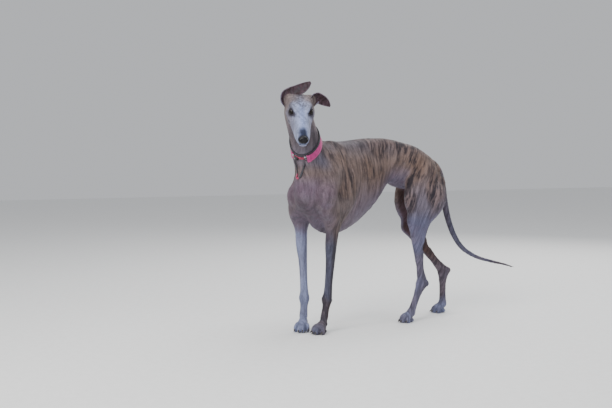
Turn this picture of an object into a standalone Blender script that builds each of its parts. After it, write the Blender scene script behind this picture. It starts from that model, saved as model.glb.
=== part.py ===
"""Greyhound, standing, as a still life-size model. Metres, +Z up, the hindquarters face -Y."""
import math

import bpy
import bmesh
import numpy as np
from mathutils import Vector, Matrix

for item in list(bpy.data.objects):
    bpy.data.objects.remove(item, do_unlink=True)

# Driving sizes, in metres and degrees. s runs forward along the spine from the loin.
GAP = 0.0003
FRONT_TURN = 29.0          # how far the chest is turned to the dog's left
BEND_START = -0.12
BEND_END = 0.18
HEAD_TURN = 72.0           # heading of the face from -Y towards +X
HEAD_PITCH = 30.0
EYES_MID = (0.236, -0.361, 0.789)
EYE_RADIUS = 0.0118
EYE_APART = 0.0328         # half of the distance between the eyes
EAR_THICK = 0.0026
COLLAR_WIDTH = 0.026
COLLAR_THICK = 0.0026
BODY_VOXEL = 0.0048
FINE_VOXEL = 0.0021
BODY_TRIANGLES = 5900
HEAD_TRIANGLES = 2400
PAW_TRIANGLES = 480
NOSE_TRIANGLES = 520
EAR_TRIANGLES = 460
FOOT_CUT = 0.046           # height of the cut between a leg and its paw

UP = np.array([0.0, 0.0, 1.0])


def unit(v):
    v = np.asarray(v, float)
    return v / max(np.linalg.norm(v), 1e-12)


def on_spine(s, side=0.0, z=0.0):
    """A point at s along the bent spine, side to the dog's left, at height z."""
    turn = math.radians(FRONT_TURN)
    radius = (BEND_END - BEND_START) / turn
    a = min(max((s - BEND_START) / radius, 0.0), turn)
    straight = min(s, BEND_START)
    past = max(s - BEND_END, 0.0)
    x = radius * (1 - math.cos(a)) + math.sin(turn) * past
    y = -straight - radius * math.sin(a) - math.cos(turn) * past
    return np.array([x + side * math.cos(a), y + side * math.sin(a), z])


def left_at(s):
    turn = math.radians(FRONT_TURN)
    a = min(max((s - BEND_START) / (BEND_END - BEND_START), 0.0), 1.0) * turn
    return np.array([math.cos(a), math.sin(a), 0.0])


def forward_at(s):
    left = left_at(s)
    return np.array([left[1], -left[0], 0.0])


yaw = math.radians(HEAD_TURN)
pitch = math.radians(HEAD_PITCH)
HEAD_ORIGIN = np.array(EYES_MID)
HEAD_LEFT = np.array([math.cos(yaw), math.sin(yaw), 0.0])
FACE_LEVEL = np.array([math.sin(yaw), -math.cos(yaw), 0.0])
HEAD_FORWARD = math.cos(pitch) * FACE_LEVEL - math.sin(pitch) * UP
HEAD_UP = math.sin(pitch) * FACE_LEVEL + math.cos(pitch) * UP


def in_head(f, l, u):
    """A point of the head: f towards the nose, l to the dog's left, u up from the eyes."""
    return HEAD_ORIGIN + f * HEAD_FORWARD + l * HEAD_LEFT + u * HEAD_UP


def by_head(l, rise, g):
    """A point beside the head, by its level directions: left, height over the eyes, forward."""
    return HEAD_ORIGIN + l * HEAD_LEFT + rise * UP + g * FACE_LEVEL


def smooth_min(a, b, k):
    h = np.maximum(k - np.abs(a - b), 0.0) / k
    return np.minimum(a, b) - h * h * k * 0.25


def curve_through(rows, fine):
    """Catmull-Rom rows between the given rows, fine steps to each."""
    rows = np.asarray(rows, float)
    padded = np.vstack([2 * rows[0] - rows[1], rows, 2 * rows[-1] - rows[-2]])
    out = []
    for i in range(1, len(padded) - 2):
        a, b, c, d = padded[i - 1:i + 3]
        for step in range(fine):
            t = step / fine
            out.append(0.5 * (2 * b + (c - a) * t + (2 * a - 5 * b + 4 * c - d) * t * t
                              + (3 * b - a - 3 * c + d) * t ** 3))
    out.append(rows[-1])
    return np.array(out)


class Tube:
    """A soft tube through stations of (centre, half width, height above, depth below)."""

    def __init__(self, centres, wide, above, below=None, side=(1, 0, 0), blend=0.02,
                 ends=(1.0, 1.0), keel=2.0, fine=4):
        below = above if below is None else below
        side = np.asarray(side, float)
        if side.ndim == 1:
            side = np.tile(side, (len(centres), 1))
        keels = np.full(len(centres), keel) if np.isscalar(keel) else np.asarray(keel)
        rows = np.column_stack([np.asarray(centres, float), wide, above, below, side, keels])
        rows = curve_through(rows, fine)
        self.at = rows[:, :3]
        self.wide, self.above, self.below = (np.maximum(rows[:, i], 0.001) for i in (3, 4, 5))
        self.keel = rows[:, 9]
        tangent = np.gradient(self.at, axis=0)
        self.tangent = tangent / np.linalg.norm(tangent, axis=1)[:, None]
        side = rows[:, 6:9]
        side = side - (side * self.tangent).sum(1)[:, None] * self.tangent
        self.side = side / np.linalg.norm(side, axis=1)[:, None]
        self.lift = np.cross(self.side, self.tangent)
        self.lift *= np.where(self.lift[:, 2:3].sum() < 0, -1, 1)
        self.ends = ends
        self.blend = blend
        reach = max(self.wide.max(), self.above.max(), self.below.max()) + blend + 0.02
        self.low, self.high = self.at.min(0) - reach, self.at.max(0) + reach

    def distance(self, p):
        best = np.full(len(p), 1e3)
        count = len(self.at) - 1
        for i in range(count):
            a, b = self.at[i], self.at[i + 1]
            ab = b - a
            t = np.clip(((p - a) @ ab) / (ab @ ab), 0, 1)
            offset = p - a - t[:, None] * ab

            def mix(values):
                return values[i] + t * (values[i + 1] - values[i])
            u = offset @ self.side[i] + t * (offset @ (self.side[i + 1] - self.side[i]))
            v = offset @ self.lift[i] + t * (offset @ (self.lift[i + 1] - self.lift[i]))
            along = offset @ (ab / np.linalg.norm(ab))
            w = mix(self.wide)
            d = np.where(v > 0, mix(self.above), mix(self.below))
            cap = np.minimum(w, d)
            if i == 0:
                cap = np.where(along < 0, cap * self.ends[0], cap)
            if i == count - 1:
                cap = np.where(along > 0, cap * self.ends[1], cap)
            n = np.where(v > 0, 2.0, mix(self.keel))
            k = (np.abs(u / w) ** n + np.abs(v / d) ** n) ** (2.0 / n) + (along / cap) ** 2
            k = np.sqrt(np.maximum(k, 1e-8))
            r = np.sqrt((offset ** 2).sum(1))
            best = np.minimum(best, np.where(k > 0.05, r * (1 - 1 / k), -cap))
        return best

    def shape(self, extra=0.0):
        """Rings of points and faces that follow the tube, closed at both ends."""
        sides = 18
        points, faces = [], []
        angles = [2 * math.pi * j / sides for j in range(sides)]
        rows = [(0, -1.0, 0.02), (0, -0.72, 0.7)]
        rows += [(i, 0.0, 1.0) for i in range(len(self.at))]
        rows += [(len(self.at) - 1, 0.72, 0.7), (len(self.at) - 1, 1.0, 0.02)]
        for i, past, scale in rows:
            w, up, down = self.wide[i] + extra, self.above[i] + extra, self.below[i] + extra
            cap = min(w, up, down) * self.ends[0 if past < 0 else 1]
            centre = self.at[i] + self.tangent[i] * past * cap
            n = self.keel[i]
            for a in angles:
                c, s = math.cos(a), math.sin(a)
                if s < 0 and n != 2.0:
                    r = (abs(c) ** n + abs(s) ** n) ** (-1 / n)
                    c, s = c * r, s * r
                points.append(centre + self.side[i] * w * c * scale
                              + self.lift[i] * (up if s > 0 else down) * s * scale)
        for ring in range(len(rows) - 1):
            for j in range(sides):
                a, b = ring * sides + j, ring * sides + (j + 1) % sides
                faces.append((a, b, b + sides, a + sides))
        faces.append(tuple(reversed(range(sides))))
        last = (len(rows) - 1) * sides
        faces.append(tuple(last + j for j in range(sides)))
        return points, faces


class Ball:
    """An ellipsoid muscle with its own three directions."""

    def __init__(self, centre, radii, along=(1, 0, 0), up=(0, 0, 1), blend=0.02):
        x = unit(along)
        z = unit(np.asarray(up, float) - x * np.dot(up, x))
        self.axes = np.array([x, np.cross(z, x), z])
        self.centre, self.radii, self.blend = np.asarray(centre, float), np.array(radii, float), blend
        reach = self.radii.max() + blend + 0.02
        self.low, self.high = self.centre - reach, self.centre + reach

    def distance(self, p):
        q = (p - self.centre) @ self.axes.T
        k0 = np.linalg.norm(q / self.radii, axis=1)
        k1 = np.linalg.norm(q / self.radii ** 2, axis=1)
        return np.where(k1 > 1e-6, k0 * (k0 - 1) / np.maximum(k1, 1e-6), -self.radii.min())

    def shape(self, extra=0.0):
        ball = bmesh.new()
        bmesh.ops.create_icosphere(ball, subdivisions=3, radius=1.0)
        points = [self.centre + (np.array(v.co) * (self.radii + extra)) @ self.axes for v in ball.verts]
        faces = [tuple(v.index for v in f.verts) for f in ball.faces]
        ball.free()
        return points, faces


def field(muscles, hollows, p):
    """Signed distance to the blended muscles, less the hollows pressed into them."""
    total = np.full(len(p), 0.2)
    for m in muscles:
        near = np.all((p > m.low) & (p < m.high), axis=1)
        if near.any():
            total[near] = smooth_min(total[near], m.distance(p[near]), m.blend)
    for m in hollows:
        near = np.all((p > m.low) & (p < m.high), axis=1)
        if near.any():
            total[near] = -smooth_min(-total[near], m.distance(p[near]), m.blend)
    return total


def object_from(name, points, faces):
    mesh = bpy.data.meshes.new(name)
    mesh.from_pydata([tuple(map(float, p)) for p in points], [], faces)
    mesh.validate()
    item = bpy.data.objects.new(name, mesh)
    bpy.context.collection.objects.link(item)
    return item


def bake(item):
    """Replace the object's mesh by its evaluated one and drop the modifiers."""
    graph = bpy.context.evaluated_depsgraph_get()
    mesh = bpy.data.meshes.new_from_object(item.evaluated_get(graph))
    old = item.data
    item.modifiers.clear()
    item.data = mesh
    bpy.data.meshes.remove(old)
    return item


def read_points(item):
    flat = np.empty(len(item.data.vertices) * 3)
    item.data.vertices.foreach_get("co", flat)
    return flat.reshape(-1, 3)


def write_points(item, points):
    item.data.vertices.foreach_set("co", np.asarray(points, np.float32).ravel())
    item.data.update()


def settle(item, muscles, hollows, level=0.0, rounds=4):
    """Move each vertex along the slope of the field until it lies on the blended surface."""
    p = read_points(item)
    h = 0.0004
    for _ in range(rounds):
        f = field(muscles, hollows, p) - level
        slope = np.column_stack([(field(muscles, hollows, p + np.eye(3)[i] * h) - level - f) / h
                                 for i in range(3)])
        size = np.maximum((slope ** 2).sum(1), 0.15)
        step = (f / size)[:, None] * slope
        length = np.linalg.norm(step, axis=1)[:, None]
        p = p - step * np.minimum(1.0, 0.005 / np.maximum(length, 1e-9))
    write_points(item, p)
    return item


def flesh(name, muscles, hollows, voxel, triangles, level=0.0):
    """One closed body round the muscles, drawn onto their blended surface."""
    points, faces = [], []
    for m in muscles:
        more, rings = m.shape(voxel * 0.3)
        faces += [tuple(i + len(points) for i in f) for f in rings]
        points += more
    item = object_from(name, points, faces)
    shell = item.modifiers.new("shell", "REMESH")
    shell.mode = "VOXEL"
    shell.voxel_size = voxel
    bake(item)
    settle(item, muscles, hollows, level)
    even = item.modifiers.new("even", "SMOOTH")
    even.factor = 0.5
    even.iterations = 3
    bake(item)
    settle(item, muscles, hollows, level, 3)
    if triangles:
        fewer(item, triangles)
    return item


def fewer(item, triangles):
    item.data.calc_loop_triangles()
    now = len(item.data.loop_triangles)
    if now > triangles:
        thin = item.modifiers.new("thin", "DECIMATE")
        thin.ratio = triangles / now
        bake(item)
    return item


def cut(item, tool, operation="DIFFERENCE", keep=False):
    before = item.data.copy()
    for solver in ("EXACT", "MANIFOLD"):
        change = item.modifiers.new("cut", "BOOLEAN")
        change.operation = operation
        change.solver = solver
        change.object = tool
        bake(item)
        if len(item.data.polygons):
            break
        item.data = before.copy()
    bpy.data.meshes.remove(before)
    if not keep:
        bpy.data.objects.remove(tool, do_unlink=True)
    return item


def plate(centre, normal, wide, long, along=(0, 0, 1), thick=GAP):
    """A thin plate that parts two nodes, or a thick one that trims."""
    z = unit(normal)
    x = unit(np.asarray(along, float) - z * np.dot(along, z))
    y = np.cross(z, x)
    box = bmesh.new()
    bmesh.ops.create_cube(box, size=1.0)
    place = Matrix(((x[0] * long, y[0] * wide, z[0] * thick, centre[0]),
                    (x[1] * long, y[1] * wide, z[1] * thick, centre[1]),
                    (x[2] * long, y[2] * wide, z[2] * thick, centre[2]), (0, 0, 0, 1)))
    bmesh.ops.transform(box, matrix=place, verts=box.verts)
    mesh = bpy.data.meshes.new("plate")
    box.to_mesh(mesh)
    box.free()
    item = bpy.data.objects.new("plate", mesh)
    bpy.context.collection.objects.link(item)
    return item


def islands(item):
    """The closed surfaces of an object, each as points and faces, largest first."""
    mesh = item.data
    parent = list(range(len(mesh.vertices)))

    def root(i):
        while parent[i] != i:
            parent[i] = parent[parent[i]]
            i = parent[i]
        return i
    for e in mesh.edges:
        a, b = root(e.vertices[0]), root(e.vertices[1])
        if a != b:
            parent[a] = b
    points = read_points(item)
    groups = {}
    for f in mesh.polygons:
        groups.setdefault(root(f.vertices[0]), []).append(tuple(f.vertices))
    out = []
    for faces in groups.values():
        used = sorted({i for f in faces for i in f})
        index = {v: i for i, v in enumerate(used)}
        out.append((points[used], [tuple(index[i] for i in f) for f in faces]))
    return sorted(out, key=lambda g: -len(g[1]))


def keep_largest(item):
    parts = islands(item)
    if len(parts) > 1:
        old = item.data
        mesh = bpy.data.meshes.new(item.name)
        mesh.from_pydata([tuple(p) for p in parts[0][0]], [], parts[0][1])
        item.data = mesh
        bpy.data.meshes.remove(old)
    return item


def mend(item):
    """Triangles only, no slivers or doubled corners, every edge between two faces."""
    for reach in (0.0, 0.00001, 0.00003, 0.0001, 0.0002, 0.0004):
        shape = bmesh.new()
        shape.from_mesh(item.data)
        if reach:
            bmesh.ops.remove_doubles(shape, verts=shape.verts, dist=reach)
            bmesh.ops.dissolve_degenerate(shape, edges=shape.edges, dist=reach * 0.5)
        bmesh.ops.triangulate(shape, faces=shape.faces)
        twice = [e for e in shape.edges if len(e.link_faces) > 2]
        if twice:
            bmesh.ops.delete(shape, geom=list({f for e in twice for f in e.link_faces}), context="FACES")
        loose = [v for v in shape.verts if not v.link_faces]
        bmesh.ops.delete(shape, geom=loose, context="VERTS")
        open_edges = [e for e in shape.edges if len(e.link_faces) == 1]
        if open_edges:
            bmesh.ops.holes_fill(shape, edges=open_edges, sides=0)
            bmesh.ops.triangulate(shape, faces=shape.faces)
        bmesh.ops.recalc_face_normals(shape, faces=shape.faces)
        sound = all(len(e.link_faces) == 2 and e.is_contiguous for e in shape.edges)
        if sound:
            shape.to_mesh(item.data)
        shape.free()
        if sound:
            break
    else:
        print("not closed:", item.name)
    keep_largest(item)


def paint(item, name, colour, roughness, metallic=0.0):
    item.name = name
    item.data.name = name
    material = bpy.data.materials.get(name) or bpy.data.materials.new(name)
    material.use_nodes = True
    look = material.node_tree.nodes["Principled BSDF"]
    look.inputs["Base Color"].default_value = (*colour, 1.0)
    look.inputs["Roughness"].default_value = roughness
    look.inputs["Metallic"].default_value = metallic
    material.diffuse_color = (*colour, 1.0)
    item.data.materials.clear()
    item.data.materials.append(material)
    item.data.shade_smooth()
    item.data.set_sharp_from_angle(angle=math.radians(40))
    return item


# Trunk stations: s, top, bottom, half width, height of the widest line, roundness below.
TRUNK = [
    (-0.312, 0.590, 0.520, 0.026, 0.556, 2.0),
    (-0.285, 0.614, 0.504, 0.044, 0.562, 2.0),
    (-0.240, 0.643, 0.498, 0.058, 0.575, 2.0),
    (-0.195, 0.664, 0.502, 0.064, 0.588, 2.0),
    (-0.150, 0.682, 0.512, 0.065, 0.602, 2.0),
    (-0.100, 0.695, 0.540, 0.063, 0.618, 2.0),
    (-0.050, 0.703, 0.520, 0.067, 0.612, 2.0),
    (0.000, 0.702, 0.470, 0.078, 0.588, 1.9),
    (0.050, 0.695, 0.413, 0.090, 0.564, 1.75),
    (0.100, 0.691, 0.374, 0.098, 0.552, 1.65),
    (0.155, 0.690, 0.351, 0.098, 0.545, 1.6),
    (0.215, 0.688, 0.352, 0.089, 0.545, 1.6),
    (0.270, 0.655, 0.374, 0.074, 0.545, 1.7),
    (0.312, 0.608, 0.414, 0.058, 0.530, 1.8),
    (0.340, 0.566, 0.452, 0.040, 0.515, 2.0),
]


def trunk():
    rows = np.array(TRUNK)
    centres = [on_spine(r[0], 0, r[4]) for r in rows]
    sides = [left_at(r[0]) for r in rows]
    body = Tube(centres, rows[:, 3], rows[:, 1] - rows[:, 4], rows[:, 4] - rows[:, 2],
                side=sides, keel=rows[:, 5], blend=0.02, ends=(0.6, 0.5), fine=3)
    out = [body]
    # long back muscles on both sides of the spine, and the prow of the breastbone
    for side in (-1, 1):
        out.append(Tube([on_spine(s, side * w, z) for s, w, z in
                         ((-0.25, 0.026, 0.612), (-0.16, 0.033, 0.648), (-0.05, 0.034, 0.672),
                          (0.08, 0.034, 0.662), (0.18, 0.034, 0.655))],
                        [0.024, 0.030, 0.031, 0.029, 0.024], [0.024, 0.029, 0.030, 0.028, 0.024],
                        side=left_at(0), blend=0.016))
    out.append(Ball(on_spine(0.333, 0, 0.500), (0.028, 0.030, 0.045), forward_at(0.3), UP, 0.03))
    return out


# Neck stations: world centre by spine or head, half width, half depth.
def neck():
    base = on_spine(0.248, -0.004, 0.585)
    low = on_spine(0.300, -0.014, 0.642)
    mid = on_spine(0.330, -0.014, 0.705)
    high = in_head(-0.092, -0.002, -0.052)
    top = in_head(-0.066, 0.0, -0.018)
    sides = [left_at(0.2), left_at(0.2), unit(left_at(0.2) + 0.5 * HEAD_LEFT), HEAD_LEFT, HEAD_LEFT]
    return [Tube([base, low, mid, high, top], [0.062, 0.058, 0.052, 0.049, 0.043],
                 [0.082, 0.068, 0.056, 0.052, 0.045], side=sides, blend=0.03, fine=5)]


def shoulder(side, elbow, point):
    """Blade, upper arm and the great muscle behind it, on one side."""
    out = []
    lat = left_at(0.2) * side
    fwd = forward_at(0.2)
    top = on_spine(0.208, side * 0.028, 0.668)
    blade = [top, top * 0.5 + point * 0.5 + lat * 0.020, point]
    out.append(Tube(blade, [0.040, 0.038, 0.026], [0.018, 0.022, 0.026],
                    side=fwd, blend=0.022, fine=4))
    out.append(Tube([point + UP * 0.012, (point + elbow) / 2 + lat * 0.012, elbow + fwd * 0.006],
                    [0.033, 0.033, 0.024], [0.028, 0.026, 0.021], side=fwd, blend=0.024, fine=4))
    back = on_spine(0.172, side * 0.074, 0.560)
    out.append(Tube([back, (back + elbow) / 2 + lat * 0.014 - fwd * 0.004, elbow - fwd * 0.018 + UP * 0.014],
                    [0.036, 0.046, 0.017], [0.020, 0.025, 0.018], side=fwd, blend=0.02, fine=4))
    # breast muscle from the breastbone to the upper arm
    out.append(Tube([on_spine(0.322, side * 0.018, 0.470), (point + elbow) / 2 - lat * 0.012 + fwd * 0.006,
                     elbow - lat * 0.016 + UP * 0.035],
                    [0.028, 0.026, 0.018], [0.026, 0.026, 0.020], side=lat, blend=0.03, fine=4))
    # rounded head of the upper arm
    out.append(Ball(point + lat * 0.004, (0.027, 0.022, 0.030), fwd, UP, 0.02))
    return out


def fore_leg(side, elbow, wrist, paw):
    """Forearm from the elbow to the wrist, with its pad, down to the paw's root."""
    fwd = unit((paw - wrist) * np.array([1, 1, 0]))
    lat = np.cross(UP, fwd)
    axis = wrist - elbow
    out = [Tube([elbow + UP * 0.004, elbow + axis * 0.22 + fwd * 0.003, elbow + axis * 0.5, elbow + axis * 0.78,
                 wrist, wrist + (paw - wrist) * 0.35, wrist + (paw - wrist) * 0.72],
                [0.0220, 0.0200, 0.0165, 0.0148, 0.0170, 0.0148, 0.0160],
                [0.0290, 0.0250, 0.0188, 0.0158, 0.0172, 0.0125, 0.0130],
                side=lat, blend=0.012, fine=4)]
    # olecranon, belly of the extensor, wrist pad
    out.append(Ball(elbow - fwd * 0.026 + UP * 0.018, (0.012, 0.010, 0.020), fwd, UP, 0.018))
    out.append(Ball(elbow + axis * 0.20 + fwd * 0.012 + lat * side * 0.005, (0.013, 0.014, 0.055), fwd, -axis,
                    0.014))
    out.append(Ball(wrist - fwd * 0.017 - UP * 0.006, (0.0085, 0.0095, 0.0105), fwd, UP, 0.009))
    out.append(Ball(wrist + fwd * 0.006, (0.0125, 0.0185, 0.017), fwd, UP, 0.012))
    return out


def haunch(side, hip, knee, hock_axis):
    """Thigh: rump, the great muscles before and behind the thigh bone, and the calf."""
    lat = np.array([side * 1.0, 0, 0])
    fwd = np.array([0, -1.0, 0])
    seat = np.array([side * 0.036, 0.296, 0.524])
    crest = np.array([side * 0.036, 0.110, 0.640])
    calf_low = knee + (hock_axis - knee) * 0.62
    out = [
        # gluteals, from the croup to the hip
        Tube([crest, np.array([side * 0.050, 0.175, 0.618]), hip + lat * 0.008],
             [0.030, 0.044, 0.050], [0.020, 0.026, 0.032], side=fwd, blend=0.04, fine=4),
        # front of the thigh
        Tube([hip + fwd * 0.015 + UP * 0.010, hip * 0.5 + knee * 0.5 + fwd * 0.026 + lat * 0.006, knee + UP * 0.030,
              knee + fwd * 0.004 - UP * 0.008],
             [0.050, 0.043, 0.029, 0.022], [0.034, 0.033, 0.024, 0.019], side=fwd, blend=0.025, fine=4),
        # back of the thigh, from the seat bone down to the calf
        Tube([seat, seat * 0.55 + knee * 0.45 + np.array([side * 0.016, 0.024, 0.012]),
              knee + np.array([side * 0.000, 0.034, 0.000]), knee * 0.70 + hock_axis * 0.30 + np.array([0, 0.014, 0])],
             [0.032, 0.048, 0.032, 0.016], [0.026, 0.032, 0.022, 0.014], side=fwd, blend=0.025, fine=4),
        Ball(seat + np.array([0, 0.010, 0.0]), (0.024, 0.018, 0.032), (0, 1, 0), UP, 0.025),
        # middle of the thigh
        Ball(hip * 0.45 + knee * 0.55 + np.array([side * 0.002, 0.020, 0.006]), (0.068, 0.031, 0.075),
             (0, 1, 0), unit(hip - knee), 0.03),
        # calf muscle
        Tube([knee + np.array([0, 0.026, -0.006]), knee * 0.75 + hock_axis * 0.25 + np.array([0, 0.010, 0]),
              calf_low], [0.024, 0.021, 0.009], [0.019, 0.016, 0.009], side=fwd, blend=0.02, fine=4),
    ]
    return out


def hind_leg(side, knee, hock, heel, paw):
    """Shin, heel tendon, hock and the long bones of the foot, down to the paw's root."""
    lat = np.array([side * 1.0, 0, 0])
    fwd = np.array([0, -1.0, 0])
    shin = hock - knee
    out = [Tube([knee + fwd * 0.006 - UP * 0.004, knee + shin * 0.28 + fwd * 0.005, knee + shin * 0.6, knee + shin * 0.85, hock],
                [0.0225, 0.0180, 0.0125, 0.0125, 0.0150], [0.0215, 0.0175, 0.0135, 0.0125, 0.0145],
                side=fwd, blend=0.014, fine=4)]
    # tendon to the heel bone
    out.append(Tube([knee + shin * 0.50 + np.array([0, 0.014, 0]), knee + shin * 0.75 + (heel - hock) * 0.62, heel],
                    [0.010, 0.0058, 0.0085], [0.009, 0.0056, 0.0095], side=fwd, blend=0.010, fine=4))
    out.append(Tube([heel, hock + (paw - hock) * 0.22], [0.0095, 0.0125], [0.0095, 0.0125], side=fwd, blend=0.014))
    down = paw - hock
    out.append(Tube([hock, hock + down * 0.3, hock + down * 0.62, hock + down * 0.88],
                    [0.0165, 0.0145, 0.0135, 0.0145], [0.0155, 0.0140, 0.0135, 0.0155],
                    side=fwd, blend=0.010, fine=4))
    out.append(Ball(hock + np.array([0, -0.002, 0.002]), (0.0145, 0.0165, 0.017), (0, 1, 0), UP, 0.012))
    # kneecap
    out.append(Ball(knee + fwd * 0.020 + UP * 0.012, (0.011, 0.013, 0.021), (0, 1, 0), UP, 0.014))
    return out


def foot(root, heading, size=1.0, long=0.052):
    """Paw: four arched toes, their pads, the great pad and blunt claws. root is on the floor."""
    fwd = unit(heading)
    lat = np.cross(UP, fwd)
    out, claws = [], []

    def at(f, l, z):
        return root + (fwd * f + lat * l) * size + UP * z * size
    out.append(Tube([at(-0.004, 0, 0.034), at(0.012, 0, 0.026)], [0.0185, 0.0215], [0.0150, 0.0150],
                    side=lat, blend=0.012))
    out.append(Ball(at(0.000, 0, 0.0085), (0.0155, 0.0185, 0.0105), fwd, UP, 0.008))
    for place, reach, lean in ((-1.5, 0.026, -0.006), (-0.5, 0.040, -0.001), (0.5, 0.041, 0.001),
                               (1.5, 0.027, 0.006)):
        l = place * 0.0118
        knuckle = at(reach * 0.52, l, 0.0262)
        tip = at(reach, l + lean, 0.0105)
        out.append(Tube([at(0.006, l * 0.75, 0.022), knuckle, at(reach * 0.86, l + lean * 0.7, 0.0190), tip],
                        [0.0085, 0.0084, 0.0080, 0.0066], [0.0095, 0.0090, 0.0088, 0.0075],
                        side=lat, blend=0.004, fine=3))
        out.append(Ball(at(reach * 0.86, l + lean * 0.8, 0.0062), (0.0105, 0.0066, 0.0078), fwd, UP, 0.004))
        claws.append(Tube([at(reach + 0.001, l + lean, 0.0125), at(reach + 0.0085, l + lean * 1.2, 0.0085),
                           at(reach + 0.0125, l + lean * 1.3, 0.0042)],
                          [0.0030, 0.0024, 0.0012], [0.0034, 0.0026, 0.0012], side=lat, blend=0.002, fine=3))
    return out + claws


FORE = {
    "right": dict(side=-1, point=on_spine(0.306, -0.066, 0.492), elbow=on_spine(0.260, -0.081, 0.378),
                  wrist=on_spine(0.268, -0.061, 0.118), turn=56.0),
    "left": dict(side=1, point=on_spine(0.306, 0.070, 0.492), elbow=on_spine(0.253, 0.057, 0.380),
                 wrist=on_spine(0.258, 0.036, 0.120), turn=28.0),
}
HIND = {
    "right": dict(side=-1, hip=np.array([-0.050, 0.245, 0.560]), knee=np.array([-0.072, 0.236, 0.352]),
                  hock=np.array([-0.062, 0.388, 0.160]), heel=np.array([-0.062, 0.412, 0.171]),
                  paw=np.array([-0.064, 0.390, 0.030]), turn=-4.0),
    "left": dict(side=1, hip=np.array([0.050, 0.238, 0.560]), knee=np.array([0.092, 0.172, 0.388]),
                 hock=np.array([0.068, 0.212, 0.140]), heel=np.array([0.066, 0.236, 0.142]),
                 paw=np.array([0.078, 0.163, 0.030]), turn=8.0),
}


def heading(turn):
    a = math.radians(turn)
    return np.array([math.sin(a), -math.cos(a), 0.0])


for leg in FORE.values():
    leg["paw"] = leg["wrist"] * np.array([1, 1, 0]) + heading(leg["turn"]) * 0.026 + UP * 0.030

# Tail stations: world centre and radius.
TAIL = [((0.0, 0.292, 0.592), 0.024), ((0.0, 0.322, 0.566), 0.0185), ((0.0, 0.342, 0.520), 0.0150),
        ((0.0, 0.356, 0.450), 0.0126), ((0.0, 0.374, 0.380), 0.0113), ((0.001, 0.401, 0.316), 0.0102),
        ((0.002, 0.440, 0.265), 0.0090), ((0.002, 0.500, 0.229), 0.0076), ((0.001, 0.570, 0.207), 0.0062),
        ((0.0, 0.632, 0.192), 0.0050), ((0.0, 0.682, 0.177), 0.0032)]


def body_muscles():
    out = trunk() + neck()
    for leg in FORE.values():
        out += shoulder(leg["side"], leg["elbow"], leg["point"])
        out += fore_leg(leg["side"], leg["elbow"], leg["wrist"], leg["paw"])
    for leg in HIND.values():
        out += haunch(leg["side"], leg["hip"], leg["knee"], leg["hock"])
        out += hind_leg(leg["side"], leg["knee"], leg["hock"], leg["heel"], leg["paw"])
    out.append(Tube([t[0] for t in TAIL], [t[1] for t in TAIL], [t[1] * 1.05 for t in TAIL],
                    blend=0.014, fine=4))
    return out


def lower_leg(leg):
    if "point" in leg:
        return fore_leg(leg["side"], leg["elbow"], leg["wrist"], leg["paw"])
    return hind_leg(leg["side"], leg["knee"], leg["hock"], leg["heel"], leg["paw"])


def paw_muscles(leg):
    root = leg["paw"] * np.array([1, 1, 0])
    return foot(root + heading(leg["turn"]) * 0.004, heading(leg["turn"]), 1.0 if "point" in leg else 0.95)


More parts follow.
